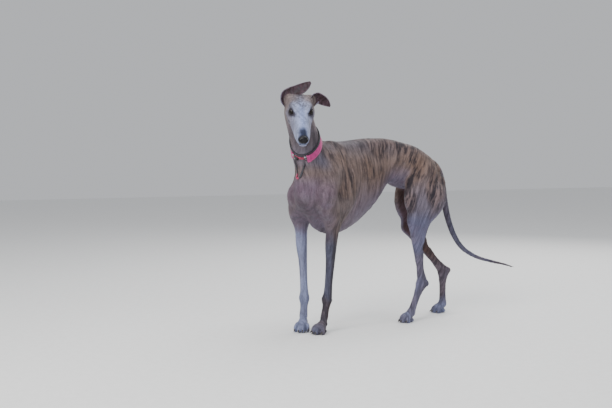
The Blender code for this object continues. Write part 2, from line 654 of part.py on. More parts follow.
def head_muscles():
    """Skull, cheeks, muzzle, jaw, brows and lids, in the head's own directions."""
    along = HEAD_FORWARD

    def line(rows, blend=0.012, fine=4, ends=(1.0, 1.0), keel=2.0):
        rows = np.array(rows, float)
        return Tube([in_head(r[0], r[1], r[2]) for r in rows], rows[:, 3], rows[:, 4], rows[:, 5],
                    side=HEAD_LEFT, blend=blend, fine=fine, ends=ends, keel=keel)
    out = [
        # braincase to the muzzle's end: f, l, u, half width, above, below
        line([(-0.098, 0, -0.014, 0.033, 0.026, 0.034), (-0.068, 0, -0.008, 0.041, 0.036, 0.044),
              (-0.035, 0, -0.009, 0.041, 0.037, 0.047), (0.000, 0, -0.012, 0.036, 0.031, 0.042),
              (0.030, 0, -0.018, 0.0310, 0.026, 0.030), (0.065, 0, -0.026, 0.0260, 0.0225, 0.022),
              (0.100, 0, -0.034, 0.0225, 0.0195, 0.018), (0.120, 0, -0.038, 0.0195, 0.0160, 0.014)],
             blend=0.012, ends=(0.8, 0.6)),
        # lower jaw
        line([(-0.030, 0, -0.048, 0.030, 0.020, 0.022), (0.020, 0, -0.054, 0.0250, 0.016, 0.0140),
              (0.065, 0, -0.0595, 0.0200, 0.012, 0.0100), (0.098, 0, -0.0625, 0.0165, 0.010, 0.0080),
              (0.114, 0, -0.0630, 0.0130, 0.008, 0.0065)], blend=0.006, ends=(0.8, 0.7)),
        Ball(in_head(-0.104, 0, 0.003), (0.016, 0.018, 0.011), along, HEAD_UP, 0.02),
    ]
    for side in (-1, 1):
        # cheekbone arch, chewing muscle, temple, brow, lip
        out.append(line([(-0.070, side * 0.037, -0.014, 0.009, 0.012, 0.012),
                         (-0.035, side * 0.0425, -0.016, 0.0085, 0.011, 0.011),
                         (-0.004, side * 0.0390, -0.020, 0.0075, 0.008, 0.009),
                         (0.024, side * 0.0290, -0.024, 0.007, 0.007, 0.008)], blend=0.016))
        out.append(Ball(in_head(-0.046, side * 0.033, -0.038), (0.034, 0.014, 0.028), along, HEAD_UP, 0.016))
        out.append(Ball(in_head(-0.056, side * 0.027, 0.008), (0.036, 0.017, 0.021), along, HEAD_UP, 0.014))
        out.append(line([(-0.020, side * 0.0345, 0.0150, 0.006, 0.006, 0.006),
                         (-0.002, side * 0.0290, 0.0175, 0.006, 0.005, 0.005),
                         (0.016, side * 0.0200, 0.0120, 0.006, 0.005, 0.005)], blend=0.012))
        out.append(line([(0.010, side * 0.0285, -0.0440, 0.0080, 0.0120, 0.0090),
                         (0.050, side * 0.0225, -0.0460, 0.0085, 0.0140, 0.0095),
                         (0.085, side * 0.0180, -0.0490, 0.0085, 0.0130, 0.0080),
                         (0.108, side * 0.0120, -0.0520, 0.0080, 0.0110, 0.0060),
                         (0.119, side * 0.0040, -0.0520, 0.0060, 0.0090, 0.0045)], blend=0.012))
        out.append(Ball(eye_centre(side), (EYE_RADIUS + 0.0020,) * 3, along, HEAD_UP, 0.009))
        # root of the ear
        out.append(Ball(in_head(-0.072, side * 0.040, 0.010), (0.018, 0.013, 0.018), along, HEAD_UP, 0.014))
    return out


def head_hollows():
    out = [Tube([in_head(f, 0, u) for f, u in ((-0.060, 0.0345), (-0.020, 0.0285), (0.012, 0.018))],
                [0.006, 0.006, 0.005], [0.0020, 0.0020, 0.002], side=HEAD_LEFT, blend=0.012, fine=3)]
    for side in (-1, 1):
        # before the eye
        out.append(Ball(in_head(0.030, side * 0.038, -0.008), (0.022, 0.008, 0.011), HEAD_FORWARD, HEAD_UP, 0.012))
    return out


def eye_centre(side):
    return in_head(-0.0058, side * (EYE_APART - 0.0028), -0.001)


def eye_gaze(side):
    return unit(HEAD_FORWARD * 0.80 + HEAD_LEFT * side * 0.55 + HEAD_UP * 0.22)


def surface_reach(muscles, start, way, far=0.14):
    """How far from start, along way, the blended surface lies."""
    steps = np.linspace(0.004, far, 120)
    values = field(muscles, [], start + steps[:, None] * way)
    outside = np.nonzero(values > 0)[0]
    if not len(outside) or outside[0] == 0:
        return steps[0]
    i = outside[0]
    a, b = values[i - 1], values[i]
    return steps[i - 1] + (steps[i] - steps[i - 1]) * (-a / (b - a))


def nose_muscles():
    out = [Ball(in_head(0.1240, 0, -0.0390), (0.0118, 0.0150, 0.0122), HEAD_FORWARD, HEAD_UP, 0.006),
           Ball(in_head(0.1195, 0, -0.0300), (0.0130, 0.0125, 0.0065), HEAD_FORWARD, HEAD_UP, 0.006)]
    for side in (-1, 1):
        out.append(Ball(in_head(0.1275, side * 0.0088, -0.0372), (0.0085, 0.0078, 0.0088),
                        HEAD_FORWARD, HEAD_UP, 0.002))
    return out


def nose_hollows():
    out = [Tube([in_head(0.1385, 0, -0.030), in_head(0.1370, 0, -0.0400), in_head(0.1310, 0, -0.0500)],
                [0.0011] * 3, [0.0014] * 3, side=HEAD_LEFT, blend=0.0015, fine=3)]
    for side in (-1, 1):
        out.append(Tube([in_head(0.1385, side * 0.0074, -0.0362), in_head(0.1320, side * 0.0100, -0.0376),
                         in_head(0.1255, side * 0.0165, -0.0402)],
                        [0.0030, 0.0028, 0.0013], [0.0038, 0.0028, 0.0013], side=HEAD_LEFT, blend=0.0015,
                        fine=3))
    return out


def leaf(name, rows, across=9, fine=3):
    """An ear: stations of (middle, edge towards the near rim, cupping) with even thickness."""
    rows = curve_through(np.array([np.concatenate([r[0], r[1], [r[2]]]) for r in rows]), fine)
    grid = []
    mids = rows[:, :3]
    tangent = np.gradient(mids, axis=0)
    for i, row in enumerate(rows):
        t = unit(tangent[i])
        edge = row[3:6]
        normal = unit(np.cross(t, edge))
        line = []
        for j in range(across):
            c = -1 + 2 * j / (across - 1)
            bend = row[6]
            half = np.linalg.norm(edge)
            if abs(bend) > 0.02:
                a = c * bend
                offset = unit(edge) * half * math.sin(a) / abs(bend) + normal * half * (1 - math.cos(a)) / bend
            else:
                offset = edge * c
            line.append(row[:3] + offset)
        grid.append(line)
    grid = np.array(grid)
    down, over = np.gradient(grid, axis=0), np.gradient(grid, axis=1)
    normal = np.cross(down, over)
    normal /= np.maximum(np.linalg.norm(normal, axis=2), 1e-9)[:, :, None]
    n, m = grid.shape[:2]
    thick = np.full((n, m), EAR_THICK / 2)
    thick[:, 0] *= 0.45
    thick[:, -1] *= 0.45
    thick[-1] *= 0.5
    points = list((grid + normal * thick[:, :, None]).reshape(-1, 3))
    points += list((grid - normal * thick[:, :, None]).reshape(-1, 3))
    faces = []
    size = n * m
    for i in range(n - 1):
        for j in range(m - 1):
            a, b, c, d = i * m + j, i * m + j + 1, (i + 1) * m + j + 1, (i + 1) * m + j
            faces.extend([(a, d, c), (a, c, b)])
            faces.extend([(a + size, c + size, d + size), (a + size, b + size, c + size)])
    rim = [(0, j) for j in range(m)] + [(i, m - 1) for i in range(1, n)]
    rim += [(n - 1, j) for j in range(m - 2, -1, -1)] + [(i, 0) for i in range(n - 2, 0, -1)]
    rim = [i * m + j for i, j in rim]
    for k, a in enumerate(rim):
        b = rim[(k + 1) % len(rim)]
        faces.extend([(a, b, b + size), (a, b + size, a + size)])
    return object_from(name, points, faces)


# Ears: middle (left, rise, forward by the head), half width as a vector, cupping in radians.
EAR_RIGHT = [
    ((-0.040, 0.028, -0.054), (0.015, 0.004, 0.010), -1.5),
    ((-0.044, 0.045, -0.054), (0.024, 0.003, 0.008), -1.3),
    ((-0.042, 0.058, -0.052), (0.020, -0.012, 0.008), -1.05),
    ((-0.030, 0.0665, -0.050), (0.011, -0.018, 0.007), -0.65),
    ((-0.010, 0.075, -0.050), (0.0075, -0.0185, 0.006), -0.40),
    ((0.010, 0.085, -0.049), (0.0065, -0.0165, 0.005), -0.30),
    ((0.027, 0.096, -0.047), (0.005, -0.011, 0.003), -0.20),
    ((0.038, 0.106, -0.046), (0.0015, -0.003, 0.001), -0.1),
]
EAR_LEFT = [
    ((0.037, 0.028, -0.054), (0.014, -0.003, -0.010), -1.5),
    ((0.045, 0.043, -0.053), (0.022, -0.004, -0.008), -1.3),
    ((0.053, 0.053, -0.052), (0.013, -0.016, -0.008), -1.05),
    ((0.064, 0.055, -0.053), (0.000, -0.019, -0.008), -0.75),
    ((0.077, 0.047, -0.055), (-0.009, -0.015, -0.008), -0.5),
    ((0.091, 0.037, -0.057), (-0.009, -0.011, -0.005), -0.35),
    ((0.102, 0.028, -0.058), (-0.005, -0.006, -0.002), -0.2),
    ((0.108, 0.023, -0.058), (-0.001, -0.002, 0.000), -0.1),
]


def ear(name, rows):
    def across(v):
        return HEAD_LEFT * v[0] + UP * v[1] + FACE_LEVEL * v[2]
    return leaf(name, [(by_head(*r[0]), across(r[1]), r[2]) for r in rows])


def box(low, high):
    low, high = np.array(low), np.array(high)
    size = high - low
    return plate((low + high) / 2, (0, 0, 1), size[1], size[0], along=(1, 0, 0), thick=size[2])


def prism(name, ring, way):
    """A closed prism on a ring of points, pushed along way."""
    count = len(ring)
    points = list(ring) + [p + way for p in ring]
    faces = [tuple(reversed(range(count))), tuple(range(count, 2 * count))]
    faces += [(i, (i + 1) % count, (i + 1) % count + count, i + count) for i in range(count)]
    item = object_from(name, points, faces)
    face_out(item)
    return item


def face_out(item):
    shape = bmesh.new()
    shape.from_mesh(item.data)
    bmesh.ops.recalc_face_normals(shape, faces=shape.faces)
    shape.to_mesh(item.data)
    shape.free()


def head_wedge(inset):
    """The room that the head takes, from the nape to the throat and out below the jaw."""
    nape, throat = in_head(-0.118, 0, -0.005), in_head(-0.036, 0, -0.080)
    along = unit(nape - throat)
    facing = unit(np.cross(HEAD_LEFT, along))
    facing = facing * (1 if facing @ FACE_LEVEL > 0 else -1)
    under = unit(HEAD_FORWARD * math.cos(math.radians(20)) - HEAD_UP * math.sin(math.radians(20)))
    corner = throat + (facing + along * 0.6) * inset - HEAD_LEFT * 0.2
    ring = [corner, corner + under * 0.35, corner + along * 0.35 + facing * 0.35, corner + along * 0.35]
    return prism("wedge", ring, HEAD_LEFT * 0.4)


def build_body():
    muscles = body_muscles()
    feet = []
    for leg in list(FORE.values()) + list(HIND.values()):
        feet += paw_muscles(leg)[:2]
    body = flesh("body", muscles + feet, [], BODY_VOXEL, 0)
    cut(body, box((-0.6, -0.8, -0.1), (0.6, 0.9, FOOT_CUT)))
    keep_largest(body)
    fewer(body, BODY_TRIANGLES)
    cut(body, head_wedge(0.0))
    keep_largest(body)
    cut(body, plate(on_spine(0.292, 0, 0.637), unit(forward_at(0.3) * 0.77 + UP * 0.64), 0.34, 0.30,
                    left_at(0.3)))
    cut(body, plate((0, 0.345, 0.500), unit((0, 0.18, -1.0)), 0.05, 0.05, (1, 0, 0)))
    for leg in HIND.values():
        side = leg["side"]
        cut(body, plate((side * 0.104, 0.22, 0.488), (0, 0.12, 1.0), 0.30, 0.20, (1, 0, 0)))
        knee, hock = leg["knee"], leg["hock"]
        cut(body, plate(knee * 0.72 + hock * 0.28, unit(knee - hock), 0.13, 0.09, (1, 0, 0)))
        cut(body, plate(hock * 0.80 + leg["paw"] * 0.20, unit(hock - leg["paw"]), 0.08, 0.07, (1, 0, 0)))
    for leg in FORE.values():
        elbow, wrist = leg["elbow"], leg["wrist"]
        cut(body, plate(elbow * 0.83 + wrist * 0.17, unit(elbow - wrist), 0.085, 0.085, left_at(0.25)))
    names = {"torso": (0, 0, 0.60), "neck": tuple(on_spine(0.31, 0, 0.70)), "tail": (0, 0.44, 0.26)}
    for name, leg in HIND.items():
        names["thigh_" + name] = tuple(leg["knee"] + (0, 0.02, 0.05))
        names["shank_" + name] = tuple(leg["knee"] * 0.35 + leg["hock"] * 0.65)
        names["hind_pastern_" + name] = tuple(leg["hock"] * 0.5 + leg["paw"] * 0.5)
    for name, leg in FORE.items():
        names["foreleg_" + name] = tuple(leg["elbow"] * 0.4 + leg["wrist"] * 0.6)
    out = []
    for points, faces in islands(body):
        if len(faces) < 40:
            continue
        near = min(names, key=lambda n: np.linalg.norm(points - np.array(names[n]), axis=1).min()
                   if n != "torso" else (0.0 if len(faces) > 2000 and points[:, 2].max() < 0.75
                                         and points[:, 2].min() > 0.3 else 1.0))
        out.append(object_from(near, points, faces))
        print(near, len(faces))
    bpy.data.objects.remove(body, do_unlink=True)
    return out


def build_head():
    head = flesh("head", head_muscles() + neck(), head_hollows(), FINE_VOXEL, 0)
    cut(head, head_wedge(GAP), "INTERSECT")
    keep_largest(head)
    fewer(head, HEAD_TRIANGLES)
    return head


def swollen(item, by):
    """A copy of a node, pushed out along its normals, to cut what lies against it."""
    other = bpy.data.objects.new("swollen", item.data.copy())
    bpy.context.collection.objects.link(other)
    other.data.materials.clear()
    points = read_points(other)
    normals = np.empty(len(points) * 3)
    other.data.vertices.foreach_get("normal", normals)
    write_points(other, points + normals.reshape(-1, 3) * by)
    return other


def ball_object(name, centre, radius):
    ball = bmesh.new()
    bmesh.ops.create_uvsphere(ball, u_segments=14, v_segments=9, radius=radius)
    mesh = bpy.data.meshes.new(name)
    ball.to_mesh(mesh)
    ball.free()
    item = bpy.data.objects.new(name, mesh)
    for v in mesh.vertices:
        v.co = v.co + Vector(centre)
    bpy.context.collection.objects.link(item)
    return item


def loop_solid(name, rings, closed=True):
    """A closed solid through rings of points, joined ring to ring, and end to end if closed."""
    count, sides = len(rings), len(rings[0])
    points = [p for ring in rings for p in ring]
    faces = []
    for i in range(count if closed else count - 1):
        a, b = i * sides, ((i + 1) % count) * sides
        faces += [(a + j, a + (j + 1) % sides, b + (j + 1) % sides, b + j) for j in range(sides)]
    if not closed:
        faces += [tuple(reversed(range(sides))), tuple((count - 1) * sides + j for j in range(sides))]
    item = object_from(name, points, faces)
    face_out(item)
    return item


def eye_opening(side, wide=0.0122, high=0.0080):
    """The almond between the lids, as a prism along the gaze."""
    gaze = eye_gaze(side)
    across = unit(np.cross(HEAD_UP, gaze)) * side
    across = unit(across + HEAD_UP * 0.10)
    lift = unit(np.cross(gaze, across))
    lift = lift * (1 if lift @ HEAD_UP > 0 else -1)
    centre = eye_centre(side) + gaze * EYE_RADIUS * 0.35
    ring = []
    for i in range(16):
        a = 2 * math.pi * i / 16
        c, v = math.cos(a), math.sin(a)
        ring.append(centre + across * wide * c + lift * high * v * (1 - 0.25 * c * c) * (1.0 if v > 0 else 0.85))
    return prism("opening", ring, gaze * 0.03)


def mouth_line(muscles):
    """A thin blade along the parting of the lips, from corner to corner."""
    rings = []
    for i in range(-9, 10):
        t = i / 9
        f = 0.016 + (0.094 - 0.016) * (1 - abs(t) ** 1.7)
        way = unit(HEAD_LEFT * (1 if t > 0 else -1) * min(1.0, abs(t) * 2.6) + HEAD_FORWARD * (1 - abs(t)) * 1.4)
        if i == 0:
            way = HEAD_FORWARD
        u = -0.0590 + 0.0035 * abs(t) ** 2
        start = in_head(f, 0, u)
        reach = surface_reach(muscles, start, way, 0.06)
        inner, outer = start + way * (reach - 0.0028), start + way * (reach + 0.004)
        half = HEAD_UP * 0.0006
        rings.append([inner - half * 0.6, outer - half, outer + half, inner + half * 0.6])
    return loop_solid("mouth", rings, closed=False)


def neck_frame():
    """Middle of the collar, its two directions across the neck and its own up direction."""
    a = math.radians(66.5)
    right = np.array([math.cos(a), math.sin(a), 0.0])
    back = np.array([math.sin(a), -math.cos(a), 0.0])
    middle = on_spine(0.330, -0.012, 0.702)
    up = unit(-0.373 * right + UP + 1.32 * back)
    across = unit(right - up * (right @ up))
    ahead = np.cross(up, across)
    ahead = ahead * (1 if ahead @ back > 0 else -1)
    return middle, across, ahead, up


def on_neck(muscles, angle, drop, lift=0.0):
    """A point on the collar's line: angle 0 is the throat, drop runs down the neck."""
    middle, across, ahead, up = neck_frame()
    way = ahead * math.cos(angle) + across * math.sin(angle)
    start = middle - up * drop
    return start + way * (surface_reach(muscles, start, way) + lift)


def band(name, muscles, top, bottom, inner, outer, steps=34, start=0.0, end=2 * math.pi):
    rings = []
    closed = end - start > 6.28
    for i in range(steps if closed else steps + 1):
        a = start + (end - start) * i / steps
        middle = (top + bottom) / 2
        rings.append([on_neck(muscles, a, top, inner), on_neck(muscles, a, middle, inner),
                      on_neck(muscles, a, bottom, inner), on_neck(muscles, a, bottom, outer),
                      on_neck(muscles, a, middle, outer + 0.0004), on_neck(muscles, a, top, outer)])
    return loop_solid(name, rings, closed)


def strap(name, path, side, wide, thick):
    """A flat strap along a path, its width along the given side directions."""
    path = np.array(path)
    tangent = np.gradient(path, axis=0)
    rings = []
    for i, p in enumerate(path):
        across = unit(side[i] if np.ndim(side) == 2 else side)
        t = unit(tangent[i])
        across = unit(across - t * (across @ t))
        out = np.cross(t, across)
        rings.append([p - across * wide / 2 - out * thick / 2, p + across * wide / 2 - out * thick / 2,
                      p + across * wide / 2 + out * thick / 2, p - across * wide / 2 + out * thick / 2])
    return loop_solid(name, rings, closed=False)


def wire_ring(name, centre, x, y, half_x, half_y, wire, steps=20, sides=6, square=0.6):
    """A rounded wire loop in the plane of x and y."""
    rings = []
    normal = unit(np.cross(x, y))
    for i in range(steps):
        a = 2 * math.pi * i / steps
        c, v = math.cos(a), math.sin(a)
        place = centre + x * half_x * math.copysign(abs(c) ** square, c) + y * half_y * math.copysign(abs(v) ** square, v)
        out = unit(x * c + y * v)
        rings.append([place + (out * math.cos(b) + normal * math.sin(b)) * wire
                      for b in [2 * math.pi * k / sides for k in range(sides)]])
    return loop_solid(name, rings)


def build_collar(against):
    """Webbing band with a dark piped top edge, control loop, two slides, buckle and tag."""
    muscles = neck() + trunk() + head_muscles()[:2]
    for leg in FORE.values():
        muscles += shoulder(leg["side"], leg["elbow"], leg["point"])
    pieces = {}
    gap_start, gap_end = 0.10, 2 * math.pi - 0.66
    pieces["collar_band"] = band("collar_band", muscles, 0.0033, COLLAR_WIDTH, -0.003, COLLAR_THICK,
                                 start=gap_start, end=gap_end)
    pieces["collar_trim"] = band("collar_trim", muscles, -0.0012, 0.0030, -0.003, COLLAR_THICK + 0.0007)
    middle, across, ahead, up = neck_frame()
    # slides at both ends of the band
    for name, a, turn in (("collar_slide_left", gap_start - 0.085, -1), ("collar_slide_right", gap_end + 0.085, 1)):
        place = on_neck(muscles, a, COLLAR_WIDTH * 0.55, 0.0036)
        near = on_neck(muscles, a + 0.1, COLLAR_WIDTH * 0.55, 0.0036)
        x = unit(near - place)
        pieces[name] = wire_ring(name, place, x, unit(up - x * (up @ x)), 0.0046, 0.0150, 0.0015)
    # control loop across the throat, with its tail hanging down
    ends = (gap_start - 0.16, gap_end + 0.16 - 2 * math.pi)
    path = []
    for t in np.linspace(0, 1, 15):
        sag = math.sin(math.pi * t)
        a = ends[0] + (ends[1] - ends[0]) * (t + 0.10 * math.sin(2 * math.pi * t))
        path.append(on_neck(muscles, a, 0.022 + 0.030 * sag ** 0.8, 0.0050 + 0.004 * sag))
    pieces["collar_loop"] = strap("collar_loop", path, ahead, 0.0024, 0.0090)
    cross = [on_neck(muscles, ends[0] + (ends[1] - ends[0]) * t, COLLAR_WIDTH * 0.40, 0.0034)
             for t in np.linspace(0, 1, 9)]
    pieces["collar_throat"] = strap("collar_throat", cross, up, 0.010, 0.0022)
    place = on_neck(muscles, gap_end + 0.24, COLLAR_WIDTH * 0.42, 0.0065)
    near = on_neck(muscles, gap_end + 0.34, COLLAR_WIDTH * 0.42, 0.0065)
    x = unit(near - place)
    y = unit(up - x * (up @ x))
    buckle = plate(place, np.cross(x, y), 0.016, 0.014, x, 0.0046)
    soften = buckle.modifiers.new("edge", "BEVEL")
    soften.width = 0.0012
    soften.segments = 2
    bake(buckle)
    pieces["collar_buckle"] = buckle
    for item in against:
        tool = swollen(item, 0.0004)
        for name in pieces:
            cut(pieces[name], tool, keep=True)
            keep_largest(pieces[name])
        bpy.data.objects.remove(tool, do_unlink=True)
    # what lies under or inside another piece is cut clear of it
    order = ["collar_slide_left", "collar_slide_right", "collar_buckle", "collar_trim", "collar_band",
             "collar_throat", "collar_loop"]
    for i, name in enumerate(order):
        for other in order[i + 1:]:
            a, b = read_points(pieces[name]), read_points(pieces[other])
            if np.all(a.min(0) - 0.001 < b.max(0)) and np.all(b.min(0) - 0.001 < a.max(0)):
                cut(pieces[other], swollen(pieces[name], 0.0004))
                keep_largest(pieces[other])
    return pieces


print("body")
solids = {item.name.split(".")[0]: item for item in build_body()}
print("head")
head = build_head()
nose = flesh("nose", nose_muscles(), nose_hollows(), 0.0008, NOSE_TRIANGLES)
cut(head, swollen(nose, GAP * 1.2))
cut(head, mouth_line(head_muscles()))
ears = {"ear_right": ear("ear_right", EAR_RIGHT), "ear_left": ear("ear_left", EAR_LEFT)}
for item in ears.values():
    fewer(item, EAR_TRIANGLES)
    face_out(item)
    cut(item, swollen(head, 0.0004))
    keep_largest(item)
for name, side in (("eye_right", -1), ("eye_left", 1)):
    cut(head, ball_object("socket", eye_centre(side), EYE_RADIUS + GAP * 1.2))
    cut(head, eye_opening(side))
    solids[name] = ball_object(name, eye_centre(side), EYE_RADIUS)
keep_largest(head)
solids["head"], solids["nose"] = head, nose
solids.update(ears)
print("paws")
for kind, legs in (("fore", FORE), ("hind", HIND)):
    for name, leg in legs.items():
        low = [m for m in lower_leg(leg) if m.low[2] < 0.06]
        paw = flesh("paw", paw_muscles(leg) + low, [], FINE_VOXEL, 0)
        cut(paw, box((-0.6, -0.8, FOOT_CUT - GAP), (0.6, 0.9, 0.6)))
        keep_largest(paw)
        fewer(paw, PAW_TRIANGLES)
        cut(paw, box((-0.6, -0.8, -0.1), (0.6, 0.9, 0.0)))
        keep_largest(paw)
        solids[kind + "_paw_" + name] = paw
print("collar")
solids.update(build_collar([solids["neck"], solids["torso"]]))

COLOURS = {
    "torso": ((0.30, 0.25, 0.21), 0.75), "neck": ((0.30, 0.27, 0.25), 0.75), "head": ((0.55, 0.56, 0.60), 0.75),
    "nose": ((0.015, 0.015, 0.018), 0.35), "ear": ((0.14, 0.10, 0.09), 0.75), "eye": ((0.02, 0.012, 0.01), 0.08),
    "tail": ((0.16, 0.14, 0.14), 0.75), "thigh": ((0.26, 0.23, 0.22), 0.75), "shank": ((0.36, 0.36, 0.40), 0.75),
    "hind": ((0.38, 0.38, 0.43), 0.75), "foreleg_right": ((0.48, 0.49, 0.55), 0.75),
    "foreleg_left": ((0.13, 0.11, 0.10), 0.75), "fore": ((0.45, 0.46, 0.52), 0.75),
    "collar_band": ((0.62, 0.07, 0.24), 0.8), "collar_trim": ((0.02, 0.02, 0.03), 0.7),
    "collar_throat": ((0.42, 0.03, 0.10), 0.8), "collar_loop": ((0.03, 0.03, 0.05), 0.8),
    "collar_slide": ((0.60, 0.60, 0.62), 0.3),
    "collar_buckle": ((0.02, 0.02, 0.022), 0.4),
}
for name, item in solids.items():
    mend(item)
    key = max((k for k in COLOURS if name.startswith(k)), key=len, default="torso")
    colour, roughness = COLOURS[key]
    paint(item, name, colour, roughness, 1.0 if "slide" in name else 0.0)

# The origin is the middle of the model's outline on the floor.
everything = np.vstack([read_points(item) for item in solids.values()])
SHIFT = -np.array([(everything[:, 0].min() + everything[:, 0].max()) / 2,
                   (everything[:, 1].min() + everything[:, 1].max()) / 2, everything[:, 2].min()])
SHIFT = np.round(SHIFT, 3) * np.array([1, 1, 0])
for item in solids.values():
    write_points(item, read_points(item) + SHIFT)
print("origin moved by", SHIFT, "box", everything.min(0) + SHIFT, everything.max(0) + SHIFT)
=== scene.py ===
import math
import bpy
import bmesh
import numpy as np
from mathutils import Matrix, Vector
from mathutils.bvhtree import BVHTree


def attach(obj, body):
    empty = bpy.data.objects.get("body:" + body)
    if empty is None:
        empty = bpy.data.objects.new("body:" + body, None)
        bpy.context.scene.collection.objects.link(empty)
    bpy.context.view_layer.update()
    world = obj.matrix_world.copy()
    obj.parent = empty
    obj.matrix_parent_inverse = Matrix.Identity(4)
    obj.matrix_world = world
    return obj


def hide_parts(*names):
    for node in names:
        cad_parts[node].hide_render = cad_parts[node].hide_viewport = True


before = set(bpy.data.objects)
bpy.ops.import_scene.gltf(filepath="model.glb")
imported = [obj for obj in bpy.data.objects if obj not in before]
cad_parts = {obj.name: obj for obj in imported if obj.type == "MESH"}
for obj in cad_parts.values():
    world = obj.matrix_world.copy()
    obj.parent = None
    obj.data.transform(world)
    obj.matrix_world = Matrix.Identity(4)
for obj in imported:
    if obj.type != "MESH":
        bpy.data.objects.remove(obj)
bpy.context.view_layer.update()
zUp = np.array([0.0, 0.0, 1.0])

# How the body stands: the spine bends to the dog's left, s runs forward along it from the loin.
pose = dict(
    frontTurn=29.0,
    bendStart=-0.12,
    bendEnd=0.18,
    headTurn=72.0,
    headPitch=30.0,
    eyesMid=(0.236, -0.361, 0.789),
    toFrame=(-0.114, -0.136, 0.0),      # from the plan's own origin to the model's
)
eyes = dict(
    radius=0.0118,
    halfApart=0.0328,
    openWide=0.0122,
    openHigh=0.0086,
    pupil=0.3,                         # radians from the middle of the gaze
    iris=0.62,
)

yaw, pitch = math.radians(pose["headTurn"]), math.radians(pose["headPitch"])
headOrigin = np.array(pose["eyesMid"])
headLeft = np.array([math.cos(yaw), math.sin(yaw), 0.0])
faceLevel = np.array([math.sin(yaw), -math.cos(yaw), 0.0])
headForward = math.cos(pitch) * faceLevel - math.sin(pitch) * zUp
headUp = math.sin(pitch) * faceLevel + math.cos(pitch) * zUp
toFrame = np.array(pose["toFrame"])


def unit(v):
    v = np.asarray(v, float)
    return v / max(np.linalg.norm(v), 1e-12)


def onSpine(s, side=0.0, z=0.0):
    turn = math.radians(pose["frontTurn"])
    radius = (pose["bendEnd"] - pose["bendStart"]) / turn
    a = min(max((s - pose["bendStart"]) / radius, 0.0), turn)
    straight = min(s, pose["bendStart"])
    past = max(s - pose["bendEnd"], 0.0)
    x = radius * (1 - math.cos(a)) + math.sin(turn) * past
    y = -straight - radius * math.sin(a) - math.cos(turn) * past
    return np.array([x + side * math.cos(a), y + side * math.sin(a), z])


def leftAt(s):
    turn = math.radians(pose["frontTurn"])
    a = min(max((s - pose["bendStart"]) / (pose["bendEnd"] - pose["bendStart"]), 0.0), 1.0) * turn
    return np.array([math.cos(a), math.sin(a), 0.0])


def forwardAt(s):
    left = leftAt(s)
    return np.array([left[1], -left[0], 0.0])


def inHead(f, l, u):
    return headOrigin + f * headForward + l * headLeft + u * headUp


def byHead(l, rise, g):
    return headOrigin + l * headLeft + rise * zUp + g * faceLevel


def smoothMin(a, b, k):
    h = np.maximum(k - np.abs(a - b), 0.0) / k
    return np.minimum(a, b) - h * h * k * 0.25


def curveThrough(rows, fine):
    rows = np.asarray(rows, float)
    padded = np.vstack([2 * rows[0] - rows[1], rows, 2 * rows[-1] - rows[-2]])
    out = []
    for i in range(1, len(padded) - 2):
        a, b, c, d = padded[i - 1:i + 3]
        for step in range(fine):
            t = step / fine
            out.append(0.5 * (2 * b + (c - a) * t + (2 * a - 5 * b + 4 * c - d) * t * t
                              + (3 * b - a - 3 * c + d) * t ** 3))
    out.append(rows[-1])
    return np.array(out)


class Tube:
    # a chain of stations with oval sections; distance() is the signed distance to its surface
    def __init__(self, centres, wide, above, below=None, side=(1, 0, 0), blend=0.02,
                 ends=(1.0, 1.0), keel=2.0, fine=4):
        below = above if below is None else below
        side = np.asarray(side, float)
        if side.ndim == 1:
            side = np.tile(side, (len(centres), 1))
        keels = np.full(len(centres), keel) if np.isscalar(keel) else np.asarray(keel)
        rows = np.column_stack([np.asarray(centres, float), wide, above, below, side, keels])
        rows = curveThrough(rows, fine)
        self.at = rows[:, :3]
        self.wide, self.above, self.below = (np.maximum(rows[:, i], 0.001) for i in (3, 4, 5))
        self.keel = rows[:, 9]
        tangent = np.gradient(self.at, axis=0)
        self.tangent = tangent / np.linalg.norm(tangent, axis=1)[:, None]
        side = rows[:, 6:9]
        side = side - (side * self.tangent).sum(1)[:, None] * self.tangent
        self.side = side / np.linalg.norm(side, axis=1)[:, None]
        self.lift = np.cross(self.side, self.tangent)
        self.lift *= np.where(self.lift[:, 2:3].sum() < 0, -1, 1)
        self.ends = ends
        self.blend = blend
        reach = max(self.wide.max(), self.above.max(), self.below.max()) + blend + 0.02
        self.low, self.high = self.at.min(0) - reach, self.at.max(0) + reach

    def distance(self, p):
        best = np.full(len(p), 1e3)
        count = len(self.at) - 1
        for i in range(count):
            a, b = self.at[i], self.at[i + 1]
            ab = b - a
            t = np.clip(((p - a) @ ab) / (ab @ ab), 0, 1)
            offset = p - a - t[:, None] * ab

            def mix(values):
                return values[i] + t * (values[i + 1] - values[i])
            u = offset @ self.side[i] + t * (offset @ (self.side[i + 1] - self.side[i]))
            v = offset @ self.lift[i] + t * (offset @ (self.lift[i + 1] - self.lift[i]))
            along = offset @ (ab / np.linalg.norm(ab))
            w = mix(self.wide)
            d = np.where(v > 0, mix(self.above), mix(self.below))
            cap = np.minimum(w, d)
            if i == 0:
                cap = np.where(along < 0, cap * self.ends[0], cap)
            if i == count - 1:
                cap = np.where(along > 0, cap * self.ends[1], cap)
            n = np.where(v > 0, 2.0, mix(self.keel))
            k = (np.abs(u / w) ** n + np.abs(v / d) ** n) ** (2.0 / n) + (along / cap) ** 2
            k = np.sqrt(np.maximum(k, 1e-8))
            r = np.sqrt((offset ** 2).sum(1))
            best = np.minimum(best, np.where(k > 0.05, r * (1 - 1 / k), -cap))
        return best


